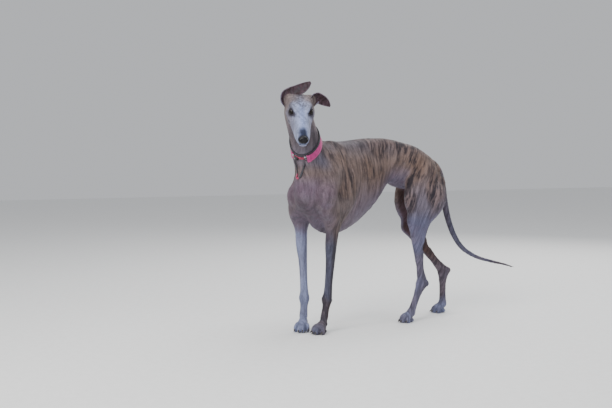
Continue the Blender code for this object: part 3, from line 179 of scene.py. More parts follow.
class Ball:
    # an oval lump, turned by two of its axes
    def __init__(self, centre, radii, along=(1, 0, 0), up=(0, 0, 1), blend=0.02):
        x = unit(along)
        z = unit(np.asarray(up, float) - x * np.dot(up, x))
        self.axes = np.array([x, np.cross(z, x), z])
        self.centre, self.radii, self.blend = np.asarray(centre, float), np.array(radii, float), blend
        reach = self.radii.max() + blend + 0.02
        self.low, self.high = self.centre - reach, self.centre + reach

    def distance(self, p):
        q = (p - self.centre) @ self.axes.T
        k0 = np.linalg.norm(q / self.radii, axis=1)
        k1 = np.linalg.norm(q / self.radii ** 2, axis=1)
        return np.where(k1 > 1e-6, k0 * (k0 - 1) / np.maximum(k1, 1e-6), -self.radii.min())


def field(muscles, hollows, p):
    total = np.full(len(p), 0.2)
    for m in muscles:
        near = np.all((p > m.low) & (p < m.high), axis=1)
        if near.any():
            total[near] = smoothMin(total[near], m.distance(p[near]), m.blend)
    for m in hollows:
        near = np.all((p > m.low) & (p < m.high), axis=1)
        if near.any():
            total[near] = -smoothMin(-total[near], m.distance(p[near]), m.blend)
    return total


# Trunk stations: s, top, bottom, half width, height of the widest line, roundness below.
trunkRows = [
    (-0.312, 0.59, 0.52, 0.026, 0.556, 2.0),
    (-0.285, 0.614, 0.504, 0.044, 0.562, 2.0),
    (-0.24, 0.643, 0.498, 0.058, 0.575, 2.0),
    (-0.195, 0.664, 0.502, 0.064, 0.588, 2.0),
    (-0.15, 0.682, 0.512, 0.065, 0.602, 2.0),
    (-0.1, 0.695, 0.54, 0.063, 0.618, 2.0),
    (-0.05, 0.703, 0.52, 0.067, 0.612, 2.0),
    (0.0, 0.702, 0.47, 0.078, 0.588, 1.9),
    (0.05, 0.695, 0.413, 0.09, 0.564, 1.75),
    (0.1, 0.691, 0.374, 0.098, 0.552, 1.65),
    (0.155, 0.69, 0.351, 0.098, 0.545, 1.6),
    (0.215, 0.688, 0.352, 0.089, 0.545, 1.6),
    (0.27, 0.655, 0.374, 0.074, 0.545, 1.7),
    (0.312, 0.608, 0.414, 0.058, 0.53, 1.8),
    (0.34, 0.566, 0.452, 0.04, 0.515, 2.0),
]


def trunk():
    rows = np.array(trunkRows)
    centres = [onSpine(r[0], 0, r[4]) for r in rows]
    sides = [leftAt(r[0]) for r in rows]
    body = Tube(centres, rows[:, 3], rows[:, 1] - rows[:, 4], rows[:, 4] - rows[:, 2],
                side=sides, keel=rows[:, 5], blend=0.02, ends=(0.6, 0.5), fine=3)
    out = [body]
    # long back muscles on both sides of the spine, and the prow of the breastbone
    for side in (-1, 1):
        out.append(Tube([onSpine(s, side * w, z) for s, w, z in
                         ((-0.25, 0.026, 0.612), (-0.16, 0.033, 0.648), (-0.05, 0.034, 0.672),
                          (0.08, 0.034, 0.662), (0.18, 0.034, 0.655))],
                        [0.024, 0.03, 0.031, 0.029, 0.024], [0.024, 0.029, 0.03, 0.028, 0.024],
                        side=leftAt(0), blend=0.016))
    out.append(Ball(onSpine(0.333, 0, 0.5), (0.028, 0.03, 0.045), forwardAt(0.3), zUp, 0.03))
    return out


# Neck stations: world centre by spine or head, half width, half depth.
def neck():
    base = onSpine(0.248, -0.004, 0.585)
    low = onSpine(0.3, -0.014, 0.642)
    mid = onSpine(0.33, -0.014, 0.705)
    high = inHead(-0.092, -0.002, -0.052)
    top = inHead(-0.066, 0.0, -0.018)
    sides = [leftAt(0.2), leftAt(0.2), unit(leftAt(0.2) + 0.5 * headLeft), headLeft, headLeft]
    return [Tube([base, low, mid, high, top], [0.062, 0.058, 0.052, 0.049, 0.043],
                 [0.082, 0.068, 0.056, 0.052, 0.045], side=sides, blend=0.03, fine=5)]


def shoulder(side, elbow, point):
    out = []
    lat = leftAt(0.2) * side
    fwd = forwardAt(0.2)
    top = onSpine(0.208, side * 0.028, 0.668)
    blade = [top, top * 0.5 + point * 0.5 + lat * 0.02, point]
    out.append(Tube(blade, [0.04, 0.038, 0.026], [0.018, 0.022, 0.026],
                    side=fwd, blend=0.022))
    out.append(Tube([point + zUp * 0.012, (point + elbow) / 2 + lat * 0.012, elbow + fwd * 0.006],
                    [0.033, 0.033, 0.024], [0.028, 0.026, 0.021], side=fwd, blend=0.024))
    back = onSpine(0.172, side * 0.074, 0.56)
    out.append(Tube([back, (back + elbow) / 2 + lat * 0.014 - fwd * 0.004, elbow - fwd * 0.018 + zUp * 0.014],
                    [0.036, 0.046, 0.017], [0.02, 0.025, 0.018], side=fwd, blend=0.02))
    # breast muscle from the breastbone to the upper arm
    out.append(Tube([onSpine(0.322, side * 0.018, 0.47), (point + elbow) / 2 - lat * 0.012 + fwd * 0.006,
                     elbow - lat * 0.016 + zUp * 0.035],
                    [0.028, 0.026, 0.018], [0.026, 0.026, 0.02], side=lat, blend=0.03))
    # rounded head of the upper arm
    out.append(Ball(point + lat * 0.004, (0.027, 0.022, 0.03), fwd, zUp, 0.02))
    return out


def foreLeg(side, elbow, wrist, paw):
    fwd = unit((paw - wrist) * np.array([1, 1, 0]))
    lat = np.cross(zUp, fwd)
    axis = wrist - elbow
    out = [Tube([elbow + zUp * 0.004, elbow + axis * 0.22 + fwd * 0.003, elbow + axis * 0.5, elbow + axis * 0.78,
                 wrist, wrist + (paw - wrist) * 0.35, wrist + (paw - wrist) * 0.72],
                [0.022, 0.02, 0.0165, 0.0148, 0.017, 0.0148, 0.016],
                [0.029, 0.025, 0.0188, 0.0158, 0.0172, 0.0125, 0.013],
                side=lat, blend=0.012)]
    # olecranon, belly of the extensor, wrist pad
    out.append(Ball(elbow - fwd * 0.026 + zUp * 0.018, (0.012, 0.01, 0.02), fwd, zUp, 0.018))
    out.append(Ball(elbow + axis * 0.2 + fwd * 0.012 + lat * side * 0.005, (0.013, 0.014, 0.055), fwd, -axis,
                    0.014))
    out.append(Ball(wrist - fwd * 0.017 - zUp * 0.006, (0.0085, 0.0095, 0.0105), fwd, zUp, 0.009))
    out.append(Ball(wrist + fwd * 0.006, (0.0125, 0.0185, 0.017), fwd, zUp, 0.012))
    return out


def haunch(side, hip, knee, hockAxis):
    lat = np.array([side * 1.0, 0, 0])
    fwd = np.array([0, -1.0, 0])
    seat = np.array([side * 0.036, 0.296, 0.524])
    crest = np.array([side * 0.036, 0.11, 0.64])
    calfLow = knee + (hockAxis - knee) * 0.62
    out = [
        # gluteals, from the croup to the hip
        Tube([crest, np.array([side * 0.05, 0.175, 0.618]), hip + lat * 0.008],
             [0.03, 0.044, 0.05], [0.02, 0.026, 0.032], side=fwd, blend=0.04),
        # front of the thigh
        Tube([hip + fwd * 0.015 + zUp * 0.01, hip * 0.5 + knee * 0.5 + fwd * 0.026 + lat * 0.006, knee + zUp * 0.03,
              knee + fwd * 0.004 - zUp * 0.008],
             [0.05, 0.043, 0.029, 0.022], [0.034, 0.033, 0.024, 0.019], side=fwd, blend=0.025),
        # back of the thigh, from the seat bone down to the calf
        Tube([seat, seat * 0.55 + knee * 0.45 + np.array([side * 0.016, 0.024, 0.012]),
              knee + np.array([side * 0.0, 0.034, 0.0]), knee * 0.7 + hockAxis * 0.3 + np.array([0, 0.014, 0])],
             [0.032, 0.048, 0.032, 0.016], [0.026, 0.032, 0.022, 0.014], side=fwd, blend=0.025),
        Ball(seat + np.array([0, 0.01, 0.0]), (0.024, 0.018, 0.032), (0, 1, 0), zUp, 0.025),
        # middle of the thigh
        Ball(hip * 0.45 + knee * 0.55 + np.array([side * 0.002, 0.02, 0.006]), (0.068, 0.031, 0.075),
             (0, 1, 0), unit(hip - knee), 0.03),
        # calf muscle
        Tube([knee + np.array([0, 0.026, -0.006]), knee * 0.75 + hockAxis * 0.25 + np.array([0, 0.01, 0]),
              calfLow], [0.024, 0.021, 0.009], [0.019, 0.016, 0.009], side=fwd, blend=0.02),
    ]
    return out


def hindLeg(knee, hock, heel, paw):
    fwd = np.array([0, -1.0, 0])
    shin = hock - knee
    out = [Tube([knee + fwd * 0.006 - zUp * 0.004, knee + shin * 0.28 + fwd * 0.005, knee + shin * 0.6,
                 knee + shin * 0.85, hock],
                [0.0225, 0.018, 0.0125, 0.0125, 0.015], [0.0215, 0.0175, 0.0135, 0.0125, 0.0145],
                side=fwd, blend=0.014)]
    # tendon to the heel bone
    out.append(Tube([knee + shin * 0.5 + np.array([0, 0.014, 0]), knee + shin * 0.75 + (heel - hock) * 0.62, heel],
                    [0.01, 0.0058, 0.0085], [0.009, 0.0056, 0.0095], side=fwd, blend=0.01))
    out.append(Tube([heel, hock + (paw - hock) * 0.22], [0.0095, 0.0125], [0.0095, 0.0125], side=fwd, blend=0.014))
    down = paw - hock
    out.append(Tube([hock, hock + down * 0.3, hock + down * 0.62, hock + down * 0.88],
                    [0.0165, 0.0145, 0.0135, 0.0145], [0.0155, 0.014, 0.0135, 0.0155],
                    side=fwd, blend=0.01))
    out.append(Ball(hock + np.array([0, -0.002, 0.002]), (0.0145, 0.0165, 0.017), (0, 1, 0), zUp, 0.012))
    # kneecap
    out.append(Ball(knee + fwd * 0.02 + zUp * 0.012, (0.011, 0.013, 0.021), (0, 1, 0), zUp, 0.014))
    return out


def foot(root, heading, size=1.0):
    fwd = unit(heading)
    lat = np.cross(zUp, fwd)
    out, claws = [], []

    def at(f, l, z):
        return root + (fwd * f + lat * l) * size + zUp * z * size
    out.append(Tube([at(-0.004, 0, 0.034), at(0.012, 0, 0.026)], [0.0185, 0.0215], [0.015, 0.015],
                    side=lat, blend=0.012))
    out.append(Ball(at(0.0, 0, 0.0085), (0.0155, 0.0185, 0.0105), fwd, zUp, 0.008))
    for place, reach, lean in ((-1.5, 0.026, -0.006), (-0.5, 0.04, -0.001), (0.5, 0.041, 0.001),
                               (1.5, 0.027, 0.006)):
        l = place * 0.0118
        knuckle = at(reach * 0.52, l, 0.0262)
        tip = at(reach, l + lean, 0.0105)
        out.append(Tube([at(0.006, l * 0.75, 0.022), knuckle, at(reach * 0.86, l + lean * 0.7, 0.019), tip],
                        [0.0085, 0.0084, 0.008, 0.0066], [0.0095, 0.009, 0.0088, 0.0075],
                        side=lat, blend=0.004, fine=3))
        out.append(Ball(at(reach * 0.86, l + lean * 0.8, 0.0062), (0.0105, 0.0066, 0.0078), fwd, zUp, 0.004))
        claws.append(Tube([at(reach + 0.001, l + lean, 0.0125), at(reach + 0.0085, l + lean * 1.2, 0.0085),
                           at(reach + 0.0125, l + lean * 1.3, 0.0042)],
                          [0.003, 0.0024, 0.0012], [0.0034, 0.0026, 0.0012], side=lat, blend=0.002, fine=3))
    return out, claws


foreLegs = {
    "right": dict(side=-1, point=onSpine(0.306, -0.066, 0.492), elbow=onSpine(0.26, -0.081, 0.378),
                  wrist=onSpine(0.268, -0.061, 0.118), turn=56.0),
    "left": dict(side=1, point=onSpine(0.306, 0.07, 0.492), elbow=onSpine(0.253, 0.057, 0.38),
                 wrist=onSpine(0.258, 0.036, 0.12), turn=28.0),
}

hindLegs = {
    "right": dict(side=-1, hip=np.array([-0.05, 0.245, 0.56]), knee=np.array([-0.072, 0.236, 0.352]),
                  hock=np.array([-0.062, 0.388, 0.16]), heel=np.array([-0.062, 0.412, 0.171]),
                  paw=np.array([-0.064, 0.39, 0.03]), turn=-4.0),
    "left": dict(side=1, hip=np.array([0.05, 0.238, 0.56]), knee=np.array([0.092, 0.172, 0.388]),
                 hock=np.array([0.068, 0.212, 0.14]), heel=np.array([0.066, 0.236, 0.142]),
                 paw=np.array([0.078, 0.163, 0.03]), turn=8.0),
}


def heading(turn):
    a = math.radians(turn)
    return np.array([math.sin(a), -math.cos(a), 0.0])


for leg in foreLegs.values():
    leg["paw"] = leg["wrist"] * np.array([1, 1, 0]) + heading(leg["turn"]) * 0.026 + zUp * 0.03


# Tail stations: world centre and radius.
tailRows = [((0.0, 0.292, 0.592), 0.024), ((0.0, 0.322, 0.566), 0.0185), ((0.0, 0.342, 0.52), 0.015),
        ((0.0, 0.356, 0.45), 0.0126), ((0.0, 0.374, 0.38), 0.0113), ((0.001, 0.401, 0.316), 0.0102),
        ((0.002, 0.44, 0.265), 0.009), ((0.002, 0.5, 0.229), 0.0076), ((0.001, 0.57, 0.207), 0.0062),
        ((0.0, 0.632, 0.192), 0.005), ((0.0, 0.682, 0.177), 0.0032)]


def bodyMuscles():
    out = trunk() + neck()
    for leg in foreLegs.values():
        out += shoulder(leg["side"], leg["elbow"], leg["point"])
        out += foreLeg(leg["side"], leg["elbow"], leg["wrist"], leg["paw"])
    for leg in hindLegs.values():
        out += haunch(leg["side"], leg["hip"], leg["knee"], leg["hock"])
        out += hindLeg(leg["knee"], leg["hock"], leg["heel"], leg["paw"])
    out.append(Tube([t[0] for t in tailRows], [t[1] for t in tailRows], [t[1] * 1.05 for t in tailRows],
                    blend=0.014))
    return out


def pawMuscles(leg):
    root = leg["paw"] * np.array([1, 1, 0])
    return foot(root + heading(leg["turn"]) * 0.004, heading(leg["turn"]), 1.0 if "point" in leg else 0.95)


def headMuscles():
    along = headForward

    def line(rows, blend=0.012, ends=(1.0, 1.0), keel=2.0):
        rows = np.array(rows, float)
        return Tube([inHead(r[0], r[1], r[2]) for r in rows], rows[:, 3], rows[:, 4], rows[:, 5],
                    side=headLeft, blend=blend, ends=ends, keel=keel)
    out = [
        # braincase to the muzzle's end: f, l, u, half width, above, below
        line([(-0.098, 0, -0.014, 0.033, 0.026, 0.034), (-0.068, 0, -0.008, 0.041, 0.036, 0.044),
              (-0.035, 0, -0.009, 0.041, 0.037, 0.047), (0.0, 0, -0.012, 0.036, 0.031, 0.042),
              (0.03, 0, -0.018, 0.031, 0.026, 0.03), (0.065, 0, -0.026, 0.026, 0.0225, 0.022),
              (0.1, 0, -0.034, 0.0225, 0.0195, 0.018), (0.12, 0, -0.038, 0.0195, 0.016, 0.014)],
             blend=0.012, ends=(0.8, 0.6)),
        # lower jaw
        line([(-0.03, 0, -0.048, 0.03, 0.02, 0.022), (0.02, 0, -0.054, 0.025, 0.016, 0.014),
              (0.065, 0, -0.0595, 0.02, 0.012, 0.01), (0.098, 0, -0.0625, 0.0165, 0.01, 0.008),
              (0.114, 0, -0.063, 0.013, 0.008, 0.0065)], blend=0.006, ends=(0.8, 0.7)),
        Ball(inHead(-0.104, 0, 0.003), (0.016, 0.018, 0.011), along, headUp, 0.02),
    ]
    for side in (-1, 1):
        # cheekbone arch, chewing muscle, temple, brow, lip
        out.append(line([(-0.07, side * 0.037, -0.014, 0.009, 0.012, 0.012),
                         (-0.035, side * 0.0425, -0.016, 0.0085, 0.011, 0.011),
                         (-0.004, side * 0.039, -0.02, 0.0075, 0.008, 0.009),
                         (0.024, side * 0.029, -0.024, 0.007, 0.007, 0.008)], blend=0.016))
        out.append(Ball(inHead(-0.046, side * 0.033, -0.038), (0.034, 0.014, 0.028), along, headUp, 0.016))
        out.append(Ball(inHead(-0.056, side * 0.027, 0.008), (0.036, 0.017, 0.021), along, headUp, 0.014))
        out.append(line([(-0.02, side * 0.0345, 0.015, 0.006, 0.006, 0.006),
                         (-0.002, side * 0.029, 0.0175, 0.006, 0.005, 0.005),
                         (0.016, side * 0.02, 0.012, 0.006, 0.005, 0.005)], blend=0.012))
        out.append(line([(0.01, side * 0.0285, -0.044, 0.008, 0.012, 0.009),
                         (0.05, side * 0.0225, -0.046, 0.0085, 0.014, 0.0095),
                         (0.085, side * 0.018, -0.049, 0.0085, 0.013, 0.008),
                         (0.108, side * 0.012, -0.052, 0.008, 0.011, 0.006),
                         (0.119, side * 0.004, -0.052, 0.006, 0.009, 0.0045)], blend=0.012))
        out.append(Ball(eyeCentre(side), (eyes["radius"] + 0.002,) * 3, along, headUp, 0.009))
        # root of the ear
        out.append(Ball(inHead(-0.072, side * 0.04, 0.01), (0.018, 0.013, 0.018), along, headUp, 0.014))
    return out


def headHollows():
    out = [Tube([inHead(f, 0, u) for f, u in ((-0.06, 0.0345), (-0.02, 0.0285), (0.012, 0.018))],
                [0.006, 0.006, 0.005], [0.002, 0.002, 0.002], side=headLeft, blend=0.012, fine=3)]
    for side in (-1, 1):
        # before the eye
        out.append(Ball(inHead(0.03, side * 0.038, -0.008), (0.022, 0.008, 0.011), headForward, headUp, 0.012))
    return out


def eyeCentre(side):
    return inHead(-0.0058, side * (eyes["halfApart"] - 0.0028), -0.001)


def eyeGaze(side):
    return unit(headForward * 0.8 + headLeft * side * 0.55 + headUp * 0.22)


def noseMuscles():
    out = [Ball(inHead(0.124, 0, -0.039), (0.0118, 0.015, 0.0122), headForward, headUp, 0.006),
           Ball(inHead(0.1195, 0, -0.03), (0.013, 0.0125, 0.0065), headForward, headUp, 0.006)]
    for side in (-1, 1):
        out.append(Ball(inHead(0.1275, side * 0.0088, -0.0372), (0.0085, 0.0078, 0.0088),
                        headForward, headUp, 0.002))
    return out


def noseHollows():
    out = [Tube([inHead(0.1385, 0, -0.03), inHead(0.137, 0, -0.04), inHead(0.131, 0, -0.05)],
                [0.0011] * 3, [0.0014] * 3, side=headLeft, blend=0.0015, fine=3)]
    for side in (-1, 1):
        out.append(Tube([inHead(0.1385, side * 0.0074, -0.0362), inHead(0.132, side * 0.01, -0.0376),
                         inHead(0.1255, side * 0.0165, -0.0402)],
                        [0.003, 0.0028, 0.0013], [0.0038, 0.0028, 0.0013], side=headLeft, blend=0.0015,
                        fine=3))
    return out


# Ears: middle (left, rise, forward by the head), half width as a vector, cupping in radians.
earRowsRight = [
    ((-0.04, 0.028, -0.054), (0.015, 0.004, 0.01), -1.5),
    ((-0.044, 0.045, -0.054), (0.024, 0.003, 0.008), -1.3),
    ((-0.042, 0.058, -0.052), (0.02, -0.012, 0.008), -1.05),
    ((-0.03, 0.0665, -0.05), (0.011, -0.018, 0.007), -0.65),
    ((-0.01, 0.075, -0.05), (0.0075, -0.0185, 0.006), -0.4),
    ((0.01, 0.085, -0.049), (0.0065, -0.0165, 0.005), -0.3),
    ((0.027, 0.096, -0.047), (0.005, -0.011, 0.003), -0.2),
    ((0.038, 0.106, -0.046), (0.0015, -0.003, 0.001), -0.1),
]

earRowsLeft = [
    ((0.037, 0.028, -0.054), (0.014, -0.003, -0.01), -1.5),
    ((0.045, 0.043, -0.053), (0.022, -0.004, -0.008), -1.3),
    ((0.053, 0.053, -0.052), (0.013, -0.016, -0.008), -1.05),
    ((0.064, 0.055, -0.053), (0.0, -0.019, -0.008), -0.75),
    ((0.077, 0.047, -0.055), (-0.009, -0.015, -0.008), -0.5),
    ((0.091, 0.037, -0.057), (-0.009, -0.011, -0.005), -0.35),
    ((0.102, 0.028, -0.058), (-0.005, -0.006, -0.002), -0.2),
    ((0.108, 0.023, -0.058), (-0.001, -0.002, 0.0), -0.1),
]


def neckFrame():
    a = math.radians(66.5)
    right = np.array([math.cos(a), math.sin(a), 0.0])
    back = np.array([math.sin(a), -math.cos(a), 0.0])
    middle = onSpine(0.33, -0.012, 0.702)
    up = unit(-0.373 * right + zUp + 1.32 * back)
    across = unit(right - up * (right @ up))
    ahead = np.cross(up, across)
    ahead = ahead * (1 if ahead @ back > 0 else -1)
    return middle, across, ahead, up


# mesh helpers
def smoothStep(low, high, x):
    t = np.clip((x - low) / (high - low), 0.0, 1.0)
    return t * t * (3 - 2 * t)


def pointsOf(item):
    flat = np.empty(len(item.data.vertices) * 3)
    item.data.vertices.foreach_get("co", flat)
    return flat.reshape(-1, 3)


def normalsOf(item):
    flat = np.empty(len(item.data.vertices) * 3)
    item.data.vertices.foreach_get("normal", flat)
    return flat.reshape(-1, 3)


def setPoints(item, points):
    item.data.vertices.foreach_set("co", np.asarray(points, np.float32).ravel())
    item.data.update()


def objectOf(name, shape):
    mesh = bpy.data.meshes.new(name)
    shape.to_mesh(mesh)
    shape.free()
    item = bpy.data.objects.new(name, mesh)
    bpy.context.collection.objects.link(item)
    mesh.shade_smooth()
    return item


def applied(item):
    graph = bpy.context.evaluated_depsgraph_get()
    mesh = bpy.data.meshes.new_from_object(item.evaluated_get(graph))
    old = item.data
    item.modifiers.clear()
    item.data = mesh
    bpy.data.meshes.remove(old)
    return item


def modified(item, kind, **settings):
    change = item.modifiers.new("change", kind)
    for key, value in settings.items():
        setattr(change, key, value)
    return applied(item)


def toPlace(item):
    setPoints(item, pointsOf(item) + toFrame)
    item.data.shade_smooth()
    return item


def settle(item, muscles, hollows, level=0.0, rounds=4, only=None):
    p = pointsOf(item)
    pick = np.arange(len(p)) if only is None else np.nonzero(only)[0]
    q = p[pick]
    h = 0.0004
    for _ in range(rounds):
        f = field(muscles, hollows, q) - level
        slope = np.column_stack([(field(muscles, hollows, q + np.eye(3)[i] * h) - level - f) / h
                                 for i in range(3)])
        size = np.maximum((slope ** 2).sum(1), 0.15)
        step = (f / size)[:, None] * slope
        length = np.linalg.norm(step, axis=1)[:, None]
        q = q - step * np.minimum(1.0, 0.005 / np.maximum(length, 1e-9))
    p[pick] = q
    setPoints(item, p)
    return item


def relaxed(item, factor, iterations):
    return modified(item, "SMOOTH", factor=factor, iterations=iterations)


def finer(item, choose):
    shape = bmesh.new()
    shape.from_mesh(item.data)
    flags = choose(pointsOf(item))
    shape.verts.ensure_lookup_table()
    edges = [e for e in shape.edges if flags[e.verts[0].index] and flags[e.verts[1].index]]
    bmesh.ops.subdivide_edges(shape, edges=edges, cuts=1, use_grid_fill=True, smooth=0.0)
    bmesh.ops.triangulate(shape, faces=[f for f in shape.faces if len(f.verts) > 4])
    shape.to_mesh(item.data)
    shape.free()
    return item


def tubeShape(shape, tube, sides=12):
    # rings along a tube, bridged one to the next and closed at both ends
    rings = []
    for i in range(len(tube.at)):
        place = Matrix.Identity(4)
        place.col[0][:3] = tube.side[i] * tube.wide[i]
        place.col[1][:3] = tube.lift[i] * tube.above[i]
        place.col[2][:3] = tube.tangent[i]
        place.col[3][:3] = tube.at[i]
        end = i in (0, len(tube.at) - 1)
        rings.append(bmesh.ops.create_circle(shape, cap_ends=end, segments=sides, radius=1.0, matrix=place)["verts"])
    for a, b in zip(rings, rings[1:]):
        for j in range(sides):
            shape.faces.new((a[j], a[(j + 1) % sides], b[(j + 1) % sides], b[j]))
    return shape


def gridShape(across, along, where, weld=0.0, mapped=True):
    # a flat grid bent to where(u, v)
    shape = bmesh.new()
    uv = shape.loops.layers.uv.new("UVMap") if mapped else None
    bmesh.ops.create_grid(shape, x_segments=across, y_segments=along, size=0.5)
    if mapped:
        for face in shape.faces:
            for loop in face.loops:
                loop[uv].uv = (loop.vert.co.x + 0.5, loop.vert.co.y + 0.5)
    for v in shape.verts:
        v.co = Vector(where(v.co.x + 0.5, v.co.y + 0.5))
    if weld:
        bmesh.ops.remove_doubles(shape, verts=shape.verts, dist=weld)
    bmesh.ops.recalc_face_normals(shape, faces=shape.faces)
    return shape


def gridSheet(name, across, along, where, thick, even=True):
    item = objectOf(name, gridShape(across, along, where))
    return modified(item, "SOLIDIFY", thickness=thick, offset=0.0, use_even_offset=even)


# the skin: one closed mesh from the solids of the flesh, drawn onto the blended muscles
skinPlan = dict(
    voxel=0.0054,
    coatDepth=0.001,
    triangles=186000,
    pawHeight=0.06,
    mouthDepth=0.0019,
    lidWall=0.0015,
)
flesh = ["torso", "neck", "head", "nose", "eye_left", "eye_right", "tail"]
flesh += [part + "_" + side for part in ("thigh", "shank", "hind_pastern", "hind_paw", "foreleg", "fore_paw")
          for side in ("left", "right")]


def headPlaces(p):
    q = p - headOrigin
    return q @ headForward, q @ headLeft, q @ headUp


def headness(p):
    f, l, u = headPlaces(p)
    return smoothStep(-0.128, -0.09, f) * smoothStep(-0.1, -0.078, u - 0.3 * np.minimum(f + 0.02, 0.0)) \
        * smoothStep(0.075, 0.06, np.abs(l))


def lidFrame(side):
    gaze = eyeGaze(side)
    across = unit(np.cross(headUp, gaze)) * side
    across = unit(across + headUp * 0.1)
    lift = unit(np.cross(gaze, across))
    lift = lift * (1 if lift @ headUp > 0 else -1)
    return eyeCentre(side), gaze, across, lift


def lidRatio(p, side):
    # 1 on the lid's rim, less inside the opening
    centre, gaze, across, lift = lidFrame(side)
    q = p - centre
    a, b, depth = q @ across, q @ lift, q @ gaze
    outer = np.where(a > 0, 1.0, 1.1)
    x = a / (eyes["openWide"] * outer)
    narrow = 1 - 0.3 * np.minimum(x * x, 1.0)
    high = np.where(b > 0, eyes["openHigh"], eyes["openHigh"] * 0.86) * narrow
    return np.where(depth > 0, np.sqrt(x ** 2 + (b / high) ** 2), 9.0), q


def mouthSide(p):
    # distance over the parting of the lips, and how far towards the corner
    f, _, u = headPlaces(p)
    back = np.clip((0.12 - f) / (0.12 - 0.014), 0.0, 1.3)
    return u - (-0.059 + 0.0035 * back ** 2), back, f


def buildSkin():
    whole = bmesh.new()
    for name in flesh:
        piece = bmesh.new()
        piece.from_mesh(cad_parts[name].data)
        bmesh.ops.remove_doubles(piece, verts=piece.verts, dist=0.00001)
        bmesh.ops.recalc_face_normals(piece, faces=piece.faces)
        piece.normal_update()
        for v in piece.verts:
            v.co += v.normal * 0.0007 - Vector(toFrame)
        mesh = bpy.data.meshes.new("piece")
        piece.to_mesh(mesh)
        piece.free()
        whole.from_mesh(mesh)
        bpy.data.meshes.remove(mesh)
    skin = objectOf("skin", whole)
    skin.data.materials.clear()
    modified(skin, "REMESH", mode="VOXEL", voxel_size=skinPlan["voxel"])
    paws, claws = [], []
    for leg in list(foreLegs.values()) + list(hindLegs.values()):
        soft, hard = pawMuscles(leg)
        paws += soft
        claws += hard
    muscles = bodyMuscles() + headMuscles() + paws
    hollows = headHollows()
    level = -skinPlan["coatDepth"]
    settle(skin, muscles, hollows, level, 4)
    relaxed(skin, 0.5, 3)
    settle(skin, muscles, hollows, level, 2)
    print("skin, first pass:", len(skin.data.vertices))

    def detailed(p):
        return (headness(p) > 0.02) | (p[:, 2] < skinPlan["pawHeight"])

    def faceOnly(p):
        f, _, _ = headPlaces(p)
        return ((headness(p) > 0.5) & (f > -0.075)) | (p[:, 2] < 0.036)

    def finest(p):
        near = (lidRatio(p, 1)[0] < 1.5) | (lidRatio(p, -1)[0] < 1.5)
        over, back, _ = mouthSide(p)
        return (headness(p) > 0.9) & (near | ((np.abs(over) < 0.0035) & (back < 1.06)))
    for choose in (detailed, faceOnly):
        finer(skin, choose)
        flags = choose(pointsOf(skin))
        settle(skin, muscles, hollows, level, 3, only=flags)
    relaxed(skin, 0.4, 2)
    settle(skin, muscles, hollows, level, 2, only=detailed(pointsOf(skin)))
    finer(skin, finest)
    settle(skin, muscles, hollows, level, 1, only=finest(pointsOf(skin)))
    p = pointsOf(skin)
    p[:, 2] = np.maximum(p[:, 2], 0.0004)
    setPoints(skin, p)
    carveFace(skin)
    print("skin, second pass:", len(skin.data.vertices))
    return skin, muscles, claws


def carveFace(skin):
    # lids round both eyes, the parting of the lips, folds above the eye and whisker beds
    p = pointsOf(skin)
    radius = eyes["radius"]
    for side in (-1, 1):
        ratio, q = lidRatio(p, side)
        away = np.linalg.norm(q, axis=1)
        near = (ratio < 2.4) & (away < 0.03)
        out = q / np.maximum(away, 1e-9)[:, None]
        inside = radius - 0.0016
        rim = np.maximum(np.minimum(away, radius + skinPlan["lidWall"] + 0.0012 * smoothStep(1.0, 2.2, ratio)),
                         radius + 0.0007)
        skinLine = away + (rim - away) * smoothStep(2.3, 1.15, ratio)
        # a soft crease runs round above and below the lids
        crease = 0.0007 * np.exp(-((ratio - 1.42) / 0.1) ** 2)
        target = inside + (skinLine - crease - inside) * smoothStep(0.93, 1.07, ratio)
        p[near] = (p - q + out * target[:, None])[near]
    over, back, _ = mouthSide(p)
    face = headness(p) * smoothStep(1.03, 0.92, back)
    normal = normalsOf(skin)
    crease = skinPlan["mouthDepth"] * np.exp(-(over / 0.0011) ** 2)
    lip = 0.0008 * np.exp(-((over - 0.0034) / 0.0018) ** 2)
    p += normal * ((lip - crease) * face)[:, None]
    setPoints(skin, p)


# ears: thin cupped leaves, grown into the skull
earPlan = dict(
    thick=0.0026,
    along=54,
    rootDepth=0.014,                    # how far the leaf runs into the head
    rimRoll=0.0022,
    wave=0.001,
    blendReach=0.0065,
    rootRounds=5,
)


def earSurface(rows):
    rows = [(byHead(*r[0]), headLeft * r[1][0] + zUp * r[1][1] + faceLevel * r[1][2], r[2]) for r in rows]
    table = np.array([np.concatenate([r[0], r[1], [r[2]]]) for r in rows])
    first = table[0].copy()
    first[:3] += unit(table[0][:3] - table[1][:3]) * earPlan["rootDepth"]
    first[3:6] *= 0.7
    table = curveThrough(np.vstack([first, table]), 6)
    tangent = np.gradient(table[:, :3], axis=0)

    def where(u, v):
        # u runs across the leaf, v from root to tip
        at = v * (len(table) - 1)
        i = min(int(at), len(table) - 2)
        row = table[i] + (table[i + 1] - table[i]) * (at - i)
        t = unit(tangent[i] + (tangent[i + 1] - tangent[i]) * (at - i))
        edge, bend = row[3:6], row[6]
        c = 2 * u - 1
        normal = unit(np.cross(t, edge))
        half = np.linalg.norm(edge)
        a = c * bend
        offset = unit(edge) * half * math.sin(a) / abs(bend) + normal * half * (1 - math.cos(a)) / bend
        roll = earPlan["rimRoll"] * abs(c) ** 8 * math.sin(math.pi * min(v * 1.3, 1.0))
        ripple = earPlan["wave"] * math.sin(9 * v + 4 * c) * (1 - c * c) * v
        fold = 0.0022 * math.exp(-((c - 0.35) / 0.13) ** 2) * math.exp(-((v - 0.3) / 0.14) ** 2)
        fold += 0.0018 * math.exp(-((c + 0.3) / 0.11) ** 2) * math.exp(-((v - 0.24) / 0.12) ** 2)
        return row[:3] + offset - normal * (roll + ripple + fold)
    return where


